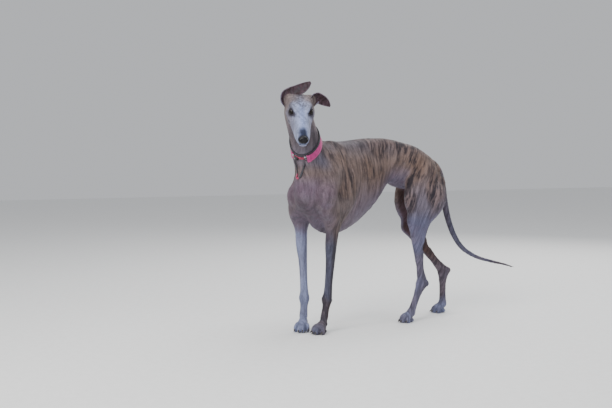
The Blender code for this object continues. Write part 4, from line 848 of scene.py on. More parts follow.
def growEars(skin):
    grids = []
    for name, rows in (("earRight", earRowsRight), ("earLeft", earRowsLeft)):
        where = earSurface(rows)
        item = gridSheet(name, earPlan["along"] // 2, earPlan["along"], where, earPlan["thick"])
        grids.append(np.array([[*where(u, v), abs(2 * u - 1), v] for u in np.linspace(0, 1, 25)
                               for v in np.linspace(0, 1, 40)]))
        before = skin.data.copy()
        count = len(before.vertices)
        for solver in ("MANIFOLD", "EXACT"):
            modified(skin, "BOOLEAN", operation="UNION", solver=solver, object=item)
            if len(skin.data.vertices) > count * 0.9:
                break
            skin.data = before.copy()
        print(name, "grown in by", solver, len(skin.data.vertices))
        bpy.data.objects.remove(item, do_unlink=True)
    return grids


def earField(p, grids):
    # for points beyond the skull: nearness to the rim and to the tip
    rim, tip = np.zeros(len(p)), np.zeros(len(p))
    best = np.full(len(p), 9.0)
    for grid in grids:
        for start in range(0, len(p), 4000):
            q = p[start:start + 4000]
            far = ((q[:, None, :] - grid[None, :, :3]) ** 2).sum(2)
            i = far.argmin(1)
            d = far[np.arange(len(q)), i]
            better = d < best[start:start + 4000]
            rim[start:start + 4000] = np.where(better, grid[i, 3], rim[start:start + 4000])
            tip[start:start + 4000] = np.where(better, grid[i, 4], tip[start:start + 4000])
            best[start:start + 4000] = np.minimum(best[start:start + 4000], d)
    return rim, tip


def blendRoots(skin, muscles, hollows):
    # round off the line where the ears leave the head
    shape = bmesh.new()
    shape.from_mesh(skin.data)
    bmesh.ops.triangulate(shape, faces=[f for f in shape.faces if len(f.verts) > 4])
    p = np.array([v.co for v in shape.verts])
    f, _, u = headPlaces(p)
    near = (headness(p) > 0.1) & (f < -0.02) & (u > -0.02)
    off = np.full(len(p), -1.0)
    off[near] = field(muscles, hollows, p[near])
    zone = near & (off > -0.0006) & (off < earPlan["blendReach"])
    ring = near & (np.abs(off) < 0.0035)
    shape.verts.ensure_lookup_table()
    verts = [shape.verts[i] for i in np.nonzero(zone | (ring & (off > 0.0003)))[0]]
    for _ in range(earPlan["rootRounds"]):
        bmesh.ops.smooth_vert(shape, verts=verts, factor=0.5, use_axis_x=True, use_axis_y=True, use_axis_z=True)
    shape.to_mesh(skin.data)
    shape.free()


# eyes, nose and claws
def buildEye(name, side):
    centre, gaze, across, lift = lidFrame(side)
    ball = bmesh.new()
    bmesh.ops.create_uvsphere(ball, u_segments=56, v_segments=36, radius=eyes["radius"])
    turn = Matrix((tuple(across), tuple(lift), tuple(gaze))).transposed()
    for v in ball.verts:
        angle = math.acos(max(-1.0, min(1.0, v.co.z / eyes["radius"])))
        bulge = 1 + 0.045 * max(0.0, 1 - (angle / eyes["iris"]) ** 2)
        v.co = turn @ (v.co * bulge) + Vector(centre)
    bmesh.ops.recalc_face_normals(ball, faces=ball.faces)
    item = objectOf(name, ball)
    p = pointsOf(item) - centre
    angle = np.arccos(np.clip(p @ gaze / np.linalg.norm(p, axis=1), -1, 1))
    around = np.arctan2(p @ lift, p @ across)
    place = item.data.attributes.new("gaze", "FLOAT_VECTOR", "POINT")
    gazes = np.column_stack([angle, np.cos(around), np.sin(around)])
    place.data.foreach_set("vector", gazes.astype(np.float32).ravel())
    return toPlace(item)


def buildNose():
    shape = bmesh.new()
    shape.from_mesh(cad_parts["nose"].data)
    bmesh.ops.remove_doubles(shape, verts=shape.verts, dist=0.00001)
    for v in shape.verts:
        v.co -= Vector(toFrame)
    item = objectOf("nosePad", shape)
    modified(item, "REMESH", mode="VOXEL", voxel_size=0.00075)
    settle(item, noseMuscles(), noseHollows(), 0.0001, 5)
    relaxed(item, 0.4, 2)
    settle(item, noseMuscles(), noseHollows(), 0.0001, 2)
    return toPlace(item)


def buildClaws(claws):
    shape = bmesh.new()
    for claw in claws:
        tubeShape(shape, claw, sides=10)
    bmesh.ops.recalc_face_normals(shape, faces=shape.faces)
    return toPlace(objectOf("claws", shape))


# collar: soft webbing with a dark piped edge, two steel slides, a buckle and a control loop
collarPlan = dict(
    width=0.026,
    thick=0.0022,
    lift=0.0011,
    gapStart=0.1,
    gapEnd=2 * math.pi - 0.66,
    pipe=0.0021,
)


def neckBodies():
    muscles = neck() + trunk() + headMuscles()[:2]
    for leg in foreLegs.values():
        muscles += shoulder(leg["side"], leg["elbow"], leg["point"])
    return muscles


def neckReach(muscles):
    # the neck's surface, looked up once on a fine net round it
    angles = np.linspace(0, 2 * math.pi, 121)
    drops = np.linspace(-0.004, 0.058, 21)
    middle, across, ahead, up = neckFrame()
    steps = np.linspace(0.01, 0.13, 121)
    net = np.zeros((len(drops), len(angles)))
    for i, drop in enumerate(drops):
        ways = ahead[None] * np.cos(angles)[:, None] + across[None] * np.sin(angles)[:, None]
        p = (middle - up * drop)[None, None] + ways[:, None] * steps[None, :, None]
        value = field(muscles, [], p.reshape(-1, 3)).reshape(len(angles), len(steps))
        k = np.argmax(value > 0, axis=1)
        a = value[np.arange(len(angles)), k - 1]
        b = value[np.arange(len(angles)), k]
        net[i] = steps[k - 1] + (steps[1] - steps[0]) * (-a / (b - a))

    def at(angle, drop, lift=0.0):
        angle = angle % (2 * math.pi)
        x = angle / (2 * math.pi) * (len(angles) - 1)
        y = min(max((drop - drops[0]) / (drops[-1] - drops[0]), 0.0), 1.0) * (len(drops) - 1)
        i, j = min(int(y), len(drops) - 2), min(int(x), len(angles) - 2)
        s, t = y - i, x - j
        reach = (net[i, j] * (1 - s) * (1 - t) + net[i + 1, j] * s * (1 - t)
                 + net[i, j + 1] * (1 - s) * t + net[i + 1, j + 1] * s * t)
        way = ahead * math.cos(angle) + across * math.sin(angle)
        return middle - up * drop + way * (reach + lift)
    return at


def ringWire(name, centre, x, y, halfX, halfY, wire, square=0.6, steps=48):
    rows = []
    for i in range(steps + 1):
        a = 2 * math.pi * i / steps
        c, v = math.cos(a), math.sin(a)
        rows.append(centre + x * halfX * math.copysign(abs(c) ** square, c)
                    + y * halfY * math.copysign(abs(v) ** square, v))
    normal = unit(np.cross(x, y))

    def where(u, v):
        a = u * 2 * math.pi
        row = rows[min(int(round(v * steps)), steps)]
        return row + (unit(row - centre) * math.cos(a) + normal * math.sin(a)) * wire
    return objectOf(name, gridShape(12, steps, where, 0.00004, mapped=False))


def flatStrap(name, path, side, wide, thick, fine=6):
    path = curveThrough(np.array(path), fine)
    tangent = np.gradient(path, axis=0)

    def where(u, v):
        at = v * (len(path) - 1)
        i = min(int(at), len(path) - 2)
        p = path[i] + (path[i + 1] - path[i]) * (at - i)
        t = unit(tangent[i] + (tangent[i + 1] - tangent[i]) * (at - i))
        w = unit(side - t * (side @ t))
        return p + w * wide * (u - 0.5)
    item = gridSheet(name, 6, len(path) * 2, where, thick, even=False)
    return modified(item, "BEVEL", width=thick * 0.3, segments=2, limit_method="ANGLE")


def buildCollar():
    plan = collarPlan
    at = neckReach(neckBodies())
    middle, _, ahead, up = neckFrame()
    start, end = plan["gapStart"], plan["gapEnd"]
    pieces = {}

    def bandAt(u, v):
        drop = 0.0022 + (plan["width"] - 0.0022) * u
        crown = 0.0005 * math.sin(math.pi * u) + 0.0003 * math.sin(40 * v) * math.sin(3 * u + 1)
        return at(start + (end - start) * v, drop, plan["lift"] + crown)
    pieces["collarWebbing"] = (gridSheet("collarWebbing", 14, 150, bandAt, plan["thick"]), "collar_band")

    # piped top edge: a round cord sewn into the binding, with the binding's turned-down hem
    def pipeAt(u, v):
        a = 2 * math.pi * u
        centre = at(2 * math.pi * v, 0.0008, 0.0016)
        way = unit(centre - (middle - up * 0.0008))
        return centre + (way * math.cos(a) + up * math.sin(a)) * plan["pipe"]
    pieces["collarPiping"] = (objectOf("collarPiping", gridShape(10, 150, pipeAt, 0.00005)), "collar_trim")

    def hemAt(u, v):
        return at(start + (end - start) * v, 0.002 + 0.0042 * u, plan["lift"] + plan["thick"] * 0.5 + 0.0007)
    pieces["collarHem"] = (gridSheet("collarHem", 4, 150, hemAt, 0.0007), None)

    # the ends of the webbing turn back through the slides
    for name, a, way in (("collarFoldLeft", start, 1), ("collarFoldRight", end, -1)):
        def foldAt(u, v, a=a, way=way):
            drop = 0.0045 + (plan["width"] - 0.006) * u
            turn = (v - 0.25) * 0.16
            lift = plan["lift"] + plan["thick"] + 0.0016 * (1 if v > 0.25 else max(0.0, v * 4) ** 0.5 * 2 - 1)
            return at(a + way * max(turn, -0.035), drop, lift)
        pieces[name] = (gridSheet(name, 10, 24, foldAt, plan["thick"] * 0.8), None)

    for name, node, a in (("slideLeft", "collar_slide_left", start - 0.085),
                          ("slideRight", "collar_slide_right", end + 0.085)):
        place = at(a, plan["width"] * 0.55, 0.0036)
        near = at(a + 0.1, plan["width"] * 0.55, 0.0036)
        x = unit(near - place)
        y = unit(up - x * (up @ x))
        ring = ringWire(name, place, x, y, 0.0046, 0.0142, 0.0014)
        pieces[name] = (ring, node)
        bar = bmesh.new()
        rod = Tube([place - y * 0.0135, place, place + y * 0.0135], [0.0012] * 3, [0.0012] * 3, side=x)
        tubeShape(bar, rod, sides=12)
        bmesh.ops.recalc_face_normals(bar, faces=bar.faces)
        pieces[name + "Bar"] = (objectOf(name + "Bar", bar), None)

    ends = (start - 0.16, end + 0.16 - 2 * math.pi)
    path = []
    for t in np.linspace(0, 1, 15):
        sag = math.sin(math.pi * t)
        a = ends[0] + (ends[1] - ends[0]) * (t + 0.05 * math.sin(2 * math.pi * t))
        path.append(at(a, 0.022 + 0.03 * sag ** 0.8, 0.0056 + 0.004 * sag))
    pieces["controlLoop"] = (flatStrap("controlLoop", path, ahead, 0.0086, 0.0018), "collar_loop")
    cross = [at(ends[0] + (ends[1] - ends[0]) * t, plan["width"] * 0.4, 0.0036) for t in np.linspace(0, 1, 9)]
    pieces["throatStrap"] = (flatStrap("throatStrap", cross, up, 0.0105, 0.0018), "collar_throat")

    place = at(end + 0.24, plan["width"] * 0.42, 0.0068)
    near = at(end + 0.34, plan["width"] * 0.42, 0.0068)
    x = unit(near - place)
    y = unit(up - x * (up @ x))
    z = unit(np.cross(x, y))
    shape = bmesh.new()
    for wide, long, deep, lift in ((0.015, 0.017, 0.0036, 0.0), (0.0104, 0.015, 0.0014, 0.0022)):
        made = bmesh.ops.create_cube(shape, size=1.0)
        turn = Matrix.Identity(4)
        for column, (axis, size) in enumerate(((x, wide), (y, long), (z, deep))):
            turn.col[column][:3] = axis * size
        turn.col[3][:3] = place + z * lift
        bmesh.ops.transform(shape, matrix=turn, verts=made["verts"])
    bmesh.ops.recalc_face_normals(shape, faces=shape.faces)
    bmesh.ops.bevel(shape, geom=shape.edges[:], offset=0.0009, segments=3, profile=0.5, affect="EDGES", material=-1)
    pieces["buckle"] = (objectOf("buckle", shape), "collar_buckle")
    for item, node in pieces.values():
        toPlace(item)
    return pieces


# markings: slow changes of tone go on the points, stripes and hairs into the shader
coat = dict(
    light=(0.82, 0.85, 1.03),           # cool open shade over every tone
    fawn=(0.215, 0.15, 0.112),
    grey=(0.13, 0.115, 0.12),           # along the back
    warm=(0.205, 0.135, 0.095),         # along the ribs
    tan=(0.165, 0.1, 0.072),            # patches between the stripes
    stripe=(0.011, 0.011, 0.018),
    lilac=(0.16, 0.13, 0.148),          # thin hair of belly and brisket
    bareSkin=(0.145, 0.082, 0.118),
    arm=(0.14, 0.108, 0.092),
    breast=(0.18, 0.114, 0.142),
    keel=(0.07, 0.055, 0.058),          # shade between the forelegs
    pale=(0.222, 0.242, 0.325),
    smoke=(0.05, 0.044, 0.052),
    ink=(0.01, 0.01, 0.016),
    umber=(0.04, 0.016, 0.013),
    nearHind=(0.155, 0.16, 0.235),
    farHind=(0.105, 0.095, 0.13),
    nearThigh=(0.13, 0.125, 0.165),
    tail=(0.125, 0.118, 0.148),
    neck=(0.12, 0.095, 0.09),
    throat=(0.19, 0.175, 0.205),
    face=(0.33, 0.35, 0.42),
    temple=(0.165, 0.13, 0.12),
    nape=(0.19, 0.15, 0.14),
    forehead=(0.2, 0.15, 0.118),
    blaze=(0.245, 0.3, 0.45),
    cheek=(0.18, 0.14, 0.13),
    bridge=(0.01, 0.014, 0.034),        # dark patch above the nose
    jaw=(0.14, 0.11, 0.115),
    chin=(0.36, 0.36, 0.43),
    lid=(0.02, 0.016, 0.018),
    earOut=(0.03, 0.02, 0.019),
    earIn=(0.036, 0.019, 0.019),
    earRim=(0.23, 0.175, 0.185),
)


def spinePlaces(p):
    # s along the bent spine and the distance to its left
    turn = math.radians(pose["frontTurn"])
    radius = (pose["bendEnd"] - pose["bendStart"]) / turn
    x, y = p[:, 0], p[:, 1] + pose["bendStart"]
    a = np.clip(np.arctan2(-y, np.maximum(radius - x, 0.02)), 0, turn)
    s = np.where(y > 0, pose["bendStart"] - y, pose["bendStart"] + a * radius)
    side = np.where(y > 0, x, radius - np.hypot(radius - x, y))
    past = a >= turn
    forward, left = forwardAt(1.0), leftAt(1.0)
    q = p - onSpine(pose["bendEnd"])
    s = np.where(past, pose["bendEnd"] + q @ forward, s)
    side = np.where(past, q @ left, side)
    return s, side


def painted(tone, *layers):
    # each layer is a colour of the coat and how far it covers
    for colour, weight in layers:
        tone = tone + (np.array(coat[colour]) - tone) * weight[:, None]
    return tone


def bell(x, middle, width):
    return np.exp(-((x - middle) / width) ** 2)


def window(x, low, full, fading, high):
    return smoothStep(low, full, x) * smoothStep(high, fading, x)


def paintFace(p, f, l, u):
    wide = np.abs(l)
    over, back, _ = mouthSide(p)
    layers = [
        ("temple", 0.75 * smoothStep(0.026, 0.04, wide) * smoothStep(0.06, 0.0, f)),
        ("nape", 0.55 * smoothStep(-0.03, -0.075, f)),
        ("forehead", 0.85 * np.maximum(smoothStep(-0.018, -0.04, f), smoothStep(0.018, 0.032, u))
         * (1 - 0.6 * bell(l, 0.0, 0.014))),
        ("blaze", 0.75 * bell(l, 0.0, 0.014) * smoothStep(-0.06, 0.02, f)),
        ("cheek", 0.35 * bell(wide, 0.028, 0.009) * smoothStep(0.09, 0.05, f) * smoothStep(0.0, -0.02, u)),
        ("bridge", 0.96 * smoothStep(0.076, 0.104, f) * smoothStep(0.022, 0.005, wide)
         * smoothStep(-0.048, -0.024, u)),
        ("chin", 0.85 * smoothStep(0.085, 0.105, f) * smoothStep(-0.052, -0.06, u)),
        ("jaw", 0.5 * smoothStep(-0.06, -0.07, u) * smoothStep(0.1, 0.06, f)),
        ("ink", 0.96 * bell(over, 0.0, 0.0023) * smoothStep(1.08, 0.98, back)),
        ("ink", 0.9 * smoothStep(0.117, 0.123, f) * smoothStep(-0.057, -0.05, u)),
    ]
    for side in (-1, 1):
        ratio, q = lidRatio(p, side)
        _, gaze, across, lift = lidFrame(side)
        corner = bell(q @ across, -0.016, 0.006) * bell(q @ lift, -0.004, 0.004) * (q @ gaze > -0.01)
        layers += [("lid", 0.97 * smoothStep(1.8, 1.35, ratio)), ("smoke", 0.8 * smoothStep(2.7, 1.5, ratio)),
                   ("smoke", 0.85 * corner)]
    return painted(np.tile(coat["face"], (len(p), 1)), *layers)


def markings(p, normal, ear, rim, tip):
    s, side = spinePlaces(p)
    x, y, z = p.T
    f, l, u = headPlaces(p)
    head = headness(p)
    fore = smoothStep(0.14, 0.18, s) * smoothStep(0.4, 0.34, z)
    hind = smoothStep(0.06, 0.1, y) * smoothStep(0.44, 0.38, z)
    right = side < -0.01
    paleLeg, darkLeg = np.where(right, fore, 0.0), np.where(right, 0.0, fore)
    # the side of a leg that faces the key light, forward and out: painted highlight
    litSide = smoothStep(0.35, 0.9, normal @ heading(40.0))
    quarter = smoothStep(0.07, 0.12, y)
    belly = smoothStep(0.06, -0.55, normal[:, 2]) * window(z, 0.3, 0.34, 0.54, 0.62)
    chest = smoothStep(0.24, 0.36, s) * window(z, 0.38, 0.46, 0.53, 0.6)
    low = smoothStep(-0.02, 0.04, s) * window(z, 0.32, 0.35, 0.4, 0.475)
    arm = bell(s, 0.235, 0.06) * smoothStep(0.03, 0.06, side) * window(z, 0.3, 0.36, 0.56, 0.64)
    thin = np.clip(np.maximum(np.maximum(belly, 0.8 * chest), 0.85 * low), 0, 1) * (1 - head) * (1 - 0.85 * arm)
    tail = smoothStep(0.3, 0.345, y) * smoothStep(0.045, 0.03, np.abs(x)) * (z < 0.6)
    neckPart = smoothStep(0.27, 0.31, s) * smoothStep(0.57, 0.62, z) * (1 - head)
    innerFar = smoothStep(0.1, 0.75, normal[:, 0]) * (x < 0.0) * quarter
    innerNear = smoothStep(0.1, 0.75, -normal[:, 0]) * (x > 0.0) * quarter
    tone = painted(
        np.tile(coat["fawn"], (len(p), 1)),
        # the back is greyer, with a warmer band along the ribs and shoulder
        ("grey", 0.75 * smoothStep(0.6, 0.685, z)),
        ("warm", 0.65 * bell(z, 0.585, 0.06) * smoothStep(0.33, 0.24, s)),
        # thin-coated brisket, belly and breast
        ("lilac", thin),
        ("arm", 0.65 * arm),
        ("breast", 0.55 * chest * bell(z, 0.52, 0.035)),
        # painted shade between the forelegs
        ("keel", 0.75 * smoothStep(0.24, 0.34, s) * bell(z, 0.44, 0.055) * bell(side, 0.0, 0.08)),
        # one pale and one dark foreleg, cooler hind legs
        ("pale", 0.95 * paleLeg),
        ("smoke", 0.96 * darkLeg),
        # painted highlight on the dark foreleg's side towards the light
        ("pale", 0.22 * darkLeg * litSide),
        ("nearHind", 0.85 * hind * (x > 0.012)),
        ("farHind", 0.8 * hind * (x <= 0.012)),
        # the near thigh cools towards the knee
        ("nearThigh", 0.6 * quarter * smoothStep(0.6, 0.44, z) * (x > 0.012)),
        # both thighs are umber inside: their reddish coat with painted shade between the hind legs
        ("umber", 0.9 * innerFar * window(z, 0.17, 0.26, 0.52, 0.6)),
        ("umber", 0.55 * innerNear * window(z, 0.25, 0.34, 0.52, 0.6)),
        # paws pale at the toes
        ("pale", (0.75 - 0.45 * darkLeg) * smoothStep(0.075, 0.02, z)),
        ("tail", 0.85 * tail),
        ("umber", 0.6 * tail * smoothStep(0.5, 0.66, y)),
        # neck: grey brown, pale towards the throat and the breast
        ("neck", 0.8 * neckPart),
        ("throat", 0.55 * neckPart * smoothStep(0.7, 0.64, z)),
    )
    tone = tone + (paintFace(p, f, l, u) - tone) * head[:, None]
    # ears: dark outside, brown and bare inside, with pale rims
    inside = smoothStep(-0.05, 0.25, normal @ faceLevel)
    leaf = painted(
        np.tile(coat["earOut"], (len(p), 1)),
        ("earIn", inside),
        # painted shade deep in the cup of the ear, near the root and away from the rim
        ("ink", 0.8 * inside * smoothStep(0.46, 0.22, tip) * smoothStep(0.75, 0.35, rim)),
        ("earRim", 0.75 * smoothStep(0.86, 0.97, rim)),
        ("pale", 0.55 * smoothStep(0.9, 0.98, rim) * smoothStep(0.5, 0.2, tip)),
    )
    tone = tone + (leaf - tone) * ear[:, None]
    # brindle: strong on loin, croup and thigh, weak on breast and face
    brindle = 0.86 + 0.14 * smoothStep(0.02, -0.1, s)
    for share, place in ((0.8, thin), (0.45, smoothStep(0.26, 0.34, s)), (0.72, paleLeg), (0.45, hind)):
        brindle *= 1 - share * place
    brindle = np.where(tail > 0.5, 0.35, brindle)
    brindle = brindle * (1 - head) + head * 0.22 * smoothStep(0.05, -0.02, f)
    brindle *= 1 - ear
    # stripes: across the spine, slanting down and back over the thigh
    slant = 0.45 * smoothStep(0.02, 0.22, y)
    lie = np.column_stack([s + slant * (z - 0.55), z, side])
    speck = head * smoothStep(0.03, -0.03, f) * smoothStep(-0.02, 0.01, u) * (0.3 + 0.7 * bell(l, 0.0, 0.024))
    masks = np.column_stack([np.clip(brindle, 0, 1), speck, np.clip(thin + 0.8 * ear * inside, 0, 1)])
    return np.clip(tone * np.array(coat["light"]), 0.003, 0.9), lie, masks


def hairWay(p, normal):
    # the lie of the coat: backwards along body and head, downwards on neck and legs
    s, _ = spinePlaces(p)
    turn = math.radians(pose["frontTurn"])
    a = np.clip((s - pose["bendStart"]) / (pose["bendEnd"] - pose["bendStart"]), 0, 1) * turn
    back = np.column_stack([-np.sin(a), np.cos(a), -0.45 * np.ones(len(p))])
    leg = np.maximum(smoothStep(0.4, 0.34, p[:, 2]), smoothStep(0.24, 0.3, s) * 0.8)
    down = np.tile([0.0, 0.05, -1.0], (len(p), 1))
    way = back * (1 - leg[:, None]) + down * leg[:, None]
    head = headness(p)[:, None]
    way = way * (1 - head) + np.array(-headForward + 0.1 * headUp)[None] * head
    tail = (p[:, 1] > 0.345)[:, None] * (np.abs(p[:, 0]) < 0.03)[:, None] * (p[:, 2] < 0.55)[:, None]
    y = p[:, 1]
    tailWay = np.column_stack([np.zeros(len(p)), smoothStep(0.34, 0.46, y), -smoothStep(0.6, 0.36, y) - 0.15])
    way = np.where(tail, tailWay, way)
    way = way - normal * (way * normal).sum(1)[:, None]
    return way / np.maximum(np.linalg.norm(way, axis=1), 1e-6)[:, None]


def storeMarks(item, tone, lie, masks):
    mesh = item.data
    for name, values in (("tone", tone), ("lie", lie), ("masks", masks)):
        made = mesh.attributes.new(name, "FLOAT_VECTOR", "POINT")
        made.data.foreach_set("vector", np.asarray(values, np.float32).ravel())


# shader maths: a socket that takes part in Python expressions
class Value:
    def __init__(self, tree, socket):
        self.tree, self.socket = tree, socket

    def math(self, operation, *others):
        node = self.tree.nodes.new("ShaderNodeMath")
        node.operation = operation
        for slot, thing in enumerate((self,) + others):
            put(self.tree, node.inputs[slot], thing)
        return Value(self.tree, node.outputs[0])

    def __add__(self, other):
        return self.math("ADD", other)

    def __sub__(self, other):
        return self.math("SUBTRACT", other)

    def __rsub__(self, other):
        return (self * -1.0).math("ADD", other)

    def __mul__(self, other):
        return self.math("MULTIPLY", other)

    __radd__, __rmul__ = __add__, __mul__

    def ramp(self, low, high, toLow=0.0, toHigh=1.0):
        node = self.tree.nodes.new("ShaderNodeMapRange")
        node.interpolation_type = "SMOOTHSTEP"
        for slot, thing in enumerate((self, low, high, toLow, toHigh)):
            put(self.tree, node.inputs[slot], thing)
        return Value(self.tree, node.outputs[0])


def put(tree, socket, thing):
    if isinstance(thing, Value):
        tree.links.new(thing.socket, socket)
    elif isinstance(thing, (tuple, list)) and socket.type == "RGBA" and len(thing) == 3:
        socket.default_value = (*thing, 1.0)
    else:
        socket.default_value = thing


class Shader:
    def __init__(self, name):
        self.material = bpy.data.materials.new(name)
        self.material.use_nodes = True
        self.tree = self.material.node_tree
        self.look = self.tree.nodes["Principled BSDF"]

    def node(self, kind, settings=None, out=0, **inputs):
        made = self.tree.nodes.new("ShaderNode" + kind)
        for key, value in (settings or {}).items():
            setattr(made, key, value)
        for key, thing in inputs.items():
            key = key.replace("_", " ")
            sockets = [i for i in made.inputs if i.name == key and i.enabled] or [made.inputs[int(key[1:])]]
            put(self.tree, sockets[0], thing)
        return Value(self.tree, made.outputs[out])

    def attribute(self, name):
        return self.node("Attribute", dict(attribute_name=name), out=1)

    def split(self, vector):
        made = self.tree.nodes.new("ShaderNodeSeparateXYZ")
        put(self.tree, made.inputs[0], vector)
        return [Value(self.tree, made.outputs[i]) for i in range(3)]

    def objectPlace(self, scale=(1, 1, 1), turn=(0, 0, 0)):
        where = self.node("TexCoord", out=3)
        return self.node("Mapping", Vector=where, Scale=scale, Rotation=turn)

    def noise(self, where, scale=1.0, detail=3.0, rough=0.5):
        return self.node("TexNoise", Vector=where, Scale=scale, Detail=detail, Roughness=rough)

    def mix(self, weight, a, b, kind="MIX"):
        made = self.tree.nodes.new("ShaderNodeMix")
        made.data_type = "RGBA"
        made.blend_type = kind
        put(self.tree, made.inputs["Factor"], weight)
        colours = [i for i in made.inputs if i.type == "RGBA"]
        put(self.tree, colours[0], a)
        put(self.tree, colours[1], b)
        return Value(self.tree, next(o for o in made.outputs if o.type == "RGBA"))

    def scaled(self, vector, by):
        made = self.tree.nodes.new("ShaderNodeVectorMath")
        made.operation = "MULTIPLY"
        put(self.tree, made.inputs[0], vector)
        put(self.tree, made.inputs[1], by)
        return Value(self.tree, made.outputs[0])

    def bump(self, height, distance, strength=1.0):
        made = self.node("Bump", Height=height, Distance=distance, Strength=strength)
        self.tree.links.new(made.socket, self.look.inputs["Normal"])

    def set(self, **inputs):
        for key, thing in inputs.items():
            put(self.tree, self.look.inputs[key.replace("_", " ")], thing)
        return self.material


# finishes
def coatMaterial(name, bumpy=True):
    m = Shader(name)
    tone, lie = m.attribute("tone"), m.attribute("lie")
    brindle, speck, bare = m.split(m.attribute("masks"))
    broad = m.noise(m.scaled(lie, (64, 11, 11)), detail=4.0, rough=0.62)
    narrow = m.noise(m.scaled(lie, (190, 32, 34)), detail=3.0)
    patch = m.noise(m.scaled(lie, (11, 9, 8)), detail=1.0)
    hair = m.noise(m.scaled(lie, (820, 130, 700)), detail=2.0, rough=0.6)
    fleck = m.noise(m.scaled(lie, (130, 60, 120)), detail=4.0, rough=0.62)
    amount = broad * 0.56 + narrow * 0.32 + hair * 0.12
    stripe = amount.ramp(0.455, 0.57) * patch.ramp(0.34, 0.58, 0.4, 1.0) * brindle
    warm = m.mix(patch.ramp(0.4, 0.62) * 0.45, tone, coat["tan"])
    tone = m.mix(brindle, tone, warm)
    streak = m.noise(m.scaled(lie, (110, 9, 60)), detail=3.0, rough=0.6)
    tone = m.mix(1.0, tone, streak.ramp(0.32, 0.66, 0.7, 1.24), kind="MULTIPLY")
    cloud = m.mix(bare * narrow.ramp(0.35, 0.65) * 0.36, tone, coat["bareSkin"])
    base = m.mix(stripe * 0.86, cloud, coat["stripe"])
    base = m.mix(speck * fleck.ramp(0.42, 0.62) * 0.85, base, coat["smoke"])
    light = m.mix(1.0, base, hair.ramp(0.25, 0.75, 0.74, 1.26), kind="MULTIPLY")
    light = m.mix(fleck.ramp(0.58, 0.74) * (1 - bare) * 0.14, light, coat["pale"])
    m.set(Base_Color=light, Roughness=hair.ramp(0.2, 0.8, 0.52, 0.74) - bare * 0.08,
          Specular_IOR_Level=0.14, Sheen_Weight=0.04, Sheen_Roughness=0.5)
    if bumpy:
        m.bump(hair * 0.55 + narrow * 0.35 + fleck * 0.25, 0.0011, 0.55)
    return m.material


def eyeMaterial():
    m = Shader("darkEye")
    angle, _, _ = m.split(m.attribute("gaze"))
    rays = m.noise(m.scaled(m.attribute("gaze"), (3.0, 9.0, 9.0)), scale=1.6, detail=3.0)
    iris = m.mix(rays.ramp(0.35, 0.65), (0.005, 0.002, 0.001), (0.016, 0.006, 0.0025))
    iris = m.mix(angle.ramp(eyes["iris"] - 0.14, eyes["iris"]), iris, (0.004, 0.003, 0.002))
    eye = m.mix(angle.ramp(eyes["pupil"] - 0.02, eyes["pupil"] + 0.03), (0.002, 0.002, 0.002), iris)
    white = m.mix(rays.ramp(0.45, 0.7), (0.012, 0.008, 0.007), (0.006, 0.004, 0.004))
    return m.set(Base_Color=m.mix(angle.ramp(eyes["iris"] + 0.02, eyes["iris"] + 0.14), eye, white),
                 Roughness=0.2, Specular_IOR_Level=0.12, Coat_Weight=0.25, Coat_Roughness=0.02)


def noseMaterial():
    m = Shader("moistNose")
    where = m.objectPlace()
    cells = m.node("TexVoronoi", Vector=where, Scale=900.0)
    damp = m.noise(where, scale=160.0, detail=2.0)
    tint = m.mix(damp.ramp(0.35, 0.7), (0.004, 0.004, 0.006), (0.012, 0.011, 0.014))
    m.set(Base_Color=tint, Roughness=damp.ramp(0.3, 0.7, 0.28, 0.5),
          Specular_IOR_Level=0.16, Coat_Weight=0.14, Coat_Roughness=0.2)
    m.bump(cells * 0.7 + damp * 0.3, 0.0004, 0.6)
    return m.material


def clawMaterial():
    m = Shader("horn")
    grain = m.noise(m.objectPlace(scale=(300, 300, 900)), detail=2.0)
    m.set(Base_Color=m.mix(grain.ramp(0.35, 0.7), (0.03, 0.027, 0.028), (0.09, 0.075, 0.066)),
          Roughness=grain.ramp(0.3, 0.7, 0.3, 0.46))
    m.bump(grain, 0.0003, 0.4)
    return m.material


def weaveMaterial(name, dark, bright, runs, picks, stitches=None, rough=0.82):
    m = Shader(name)
    u, v, _ = m.split(m.node("UVMap", dict(uv_map="UVMap")))
    ribs = (u * (2 * math.pi * runs)).math("SINE")
    cross = (v * (2 * math.pi * picks)).math("SINE")
    weave = ribs * cross * 0.5 + 0.5
    worn = m.noise(m.objectPlace(), scale=90.0, detail=4.0, rough=0.6)
    fuzz = m.noise(m.objectPlace(), scale=1500.0, detail=2.0)
    # threads are painted lighter on their crests and darker between them, painted shade in the weave's hollows; worn
    # adds patches of real fading
    tint = m.mix(weave * 0.55 + worn.ramp(0.3, 0.7) * 0.45, dark, bright)
    edge = (u - 0.5).math("ABSOLUTE").ramp(0.43, 0.5)
    tint = m.mix(edge * worn.ramp(0.4, 0.62) * 0.35, tint, tuple(min(1.0, c * 1.5 + 0.03) for c in bright))
    height = weave * 0.6 + fuzz * 0.25
    if stitches:
        line = (u - stitches["at"]).math("ABSOLUTE").ramp(0.035, 0.02)
        dash = (v * (2 * math.pi * stitches["count"])).math("SINE").ramp(-0.2, 0.25)
        tint = m.mix(line * dash * 0.85, tint, stitches["thread"])
        height = height + line * dash * 0.8
    if name == "controlStrap":
        tint = m.mix((v - 0.5).math("ABSOLUTE").ramp(0.16, 0.1), tint, (0.42, 0.045, 0.12))
    m.set(Base_Color=tint, Roughness=fuzz.ramp(0.3, 0.7, rough - 0.08, rough + 0.08),
          Sheen_Weight=0.25, Sheen_Roughness=0.45)
    m.bump(height, 0.0006, 0.7)
    return m.material


def steelMaterial():
    m = Shader("brightSteel")
    brush = m.noise(m.objectPlace(scale=(120, 120, 1600)), detail=3.0)
    wear = m.noise(m.objectPlace(), scale=240.0, detail=3.0)
    m.set(Base_Color=m.mix(wear.ramp(0.4, 0.7), (0.64, 0.64, 0.66), (0.42, 0.41, 0.41)), Metallic=1.0,
          Roughness=brush.ramp(0.3, 0.7, 0.18, 0.36))
    m.bump(brush, 0.0002, 0.35)
    return m.material


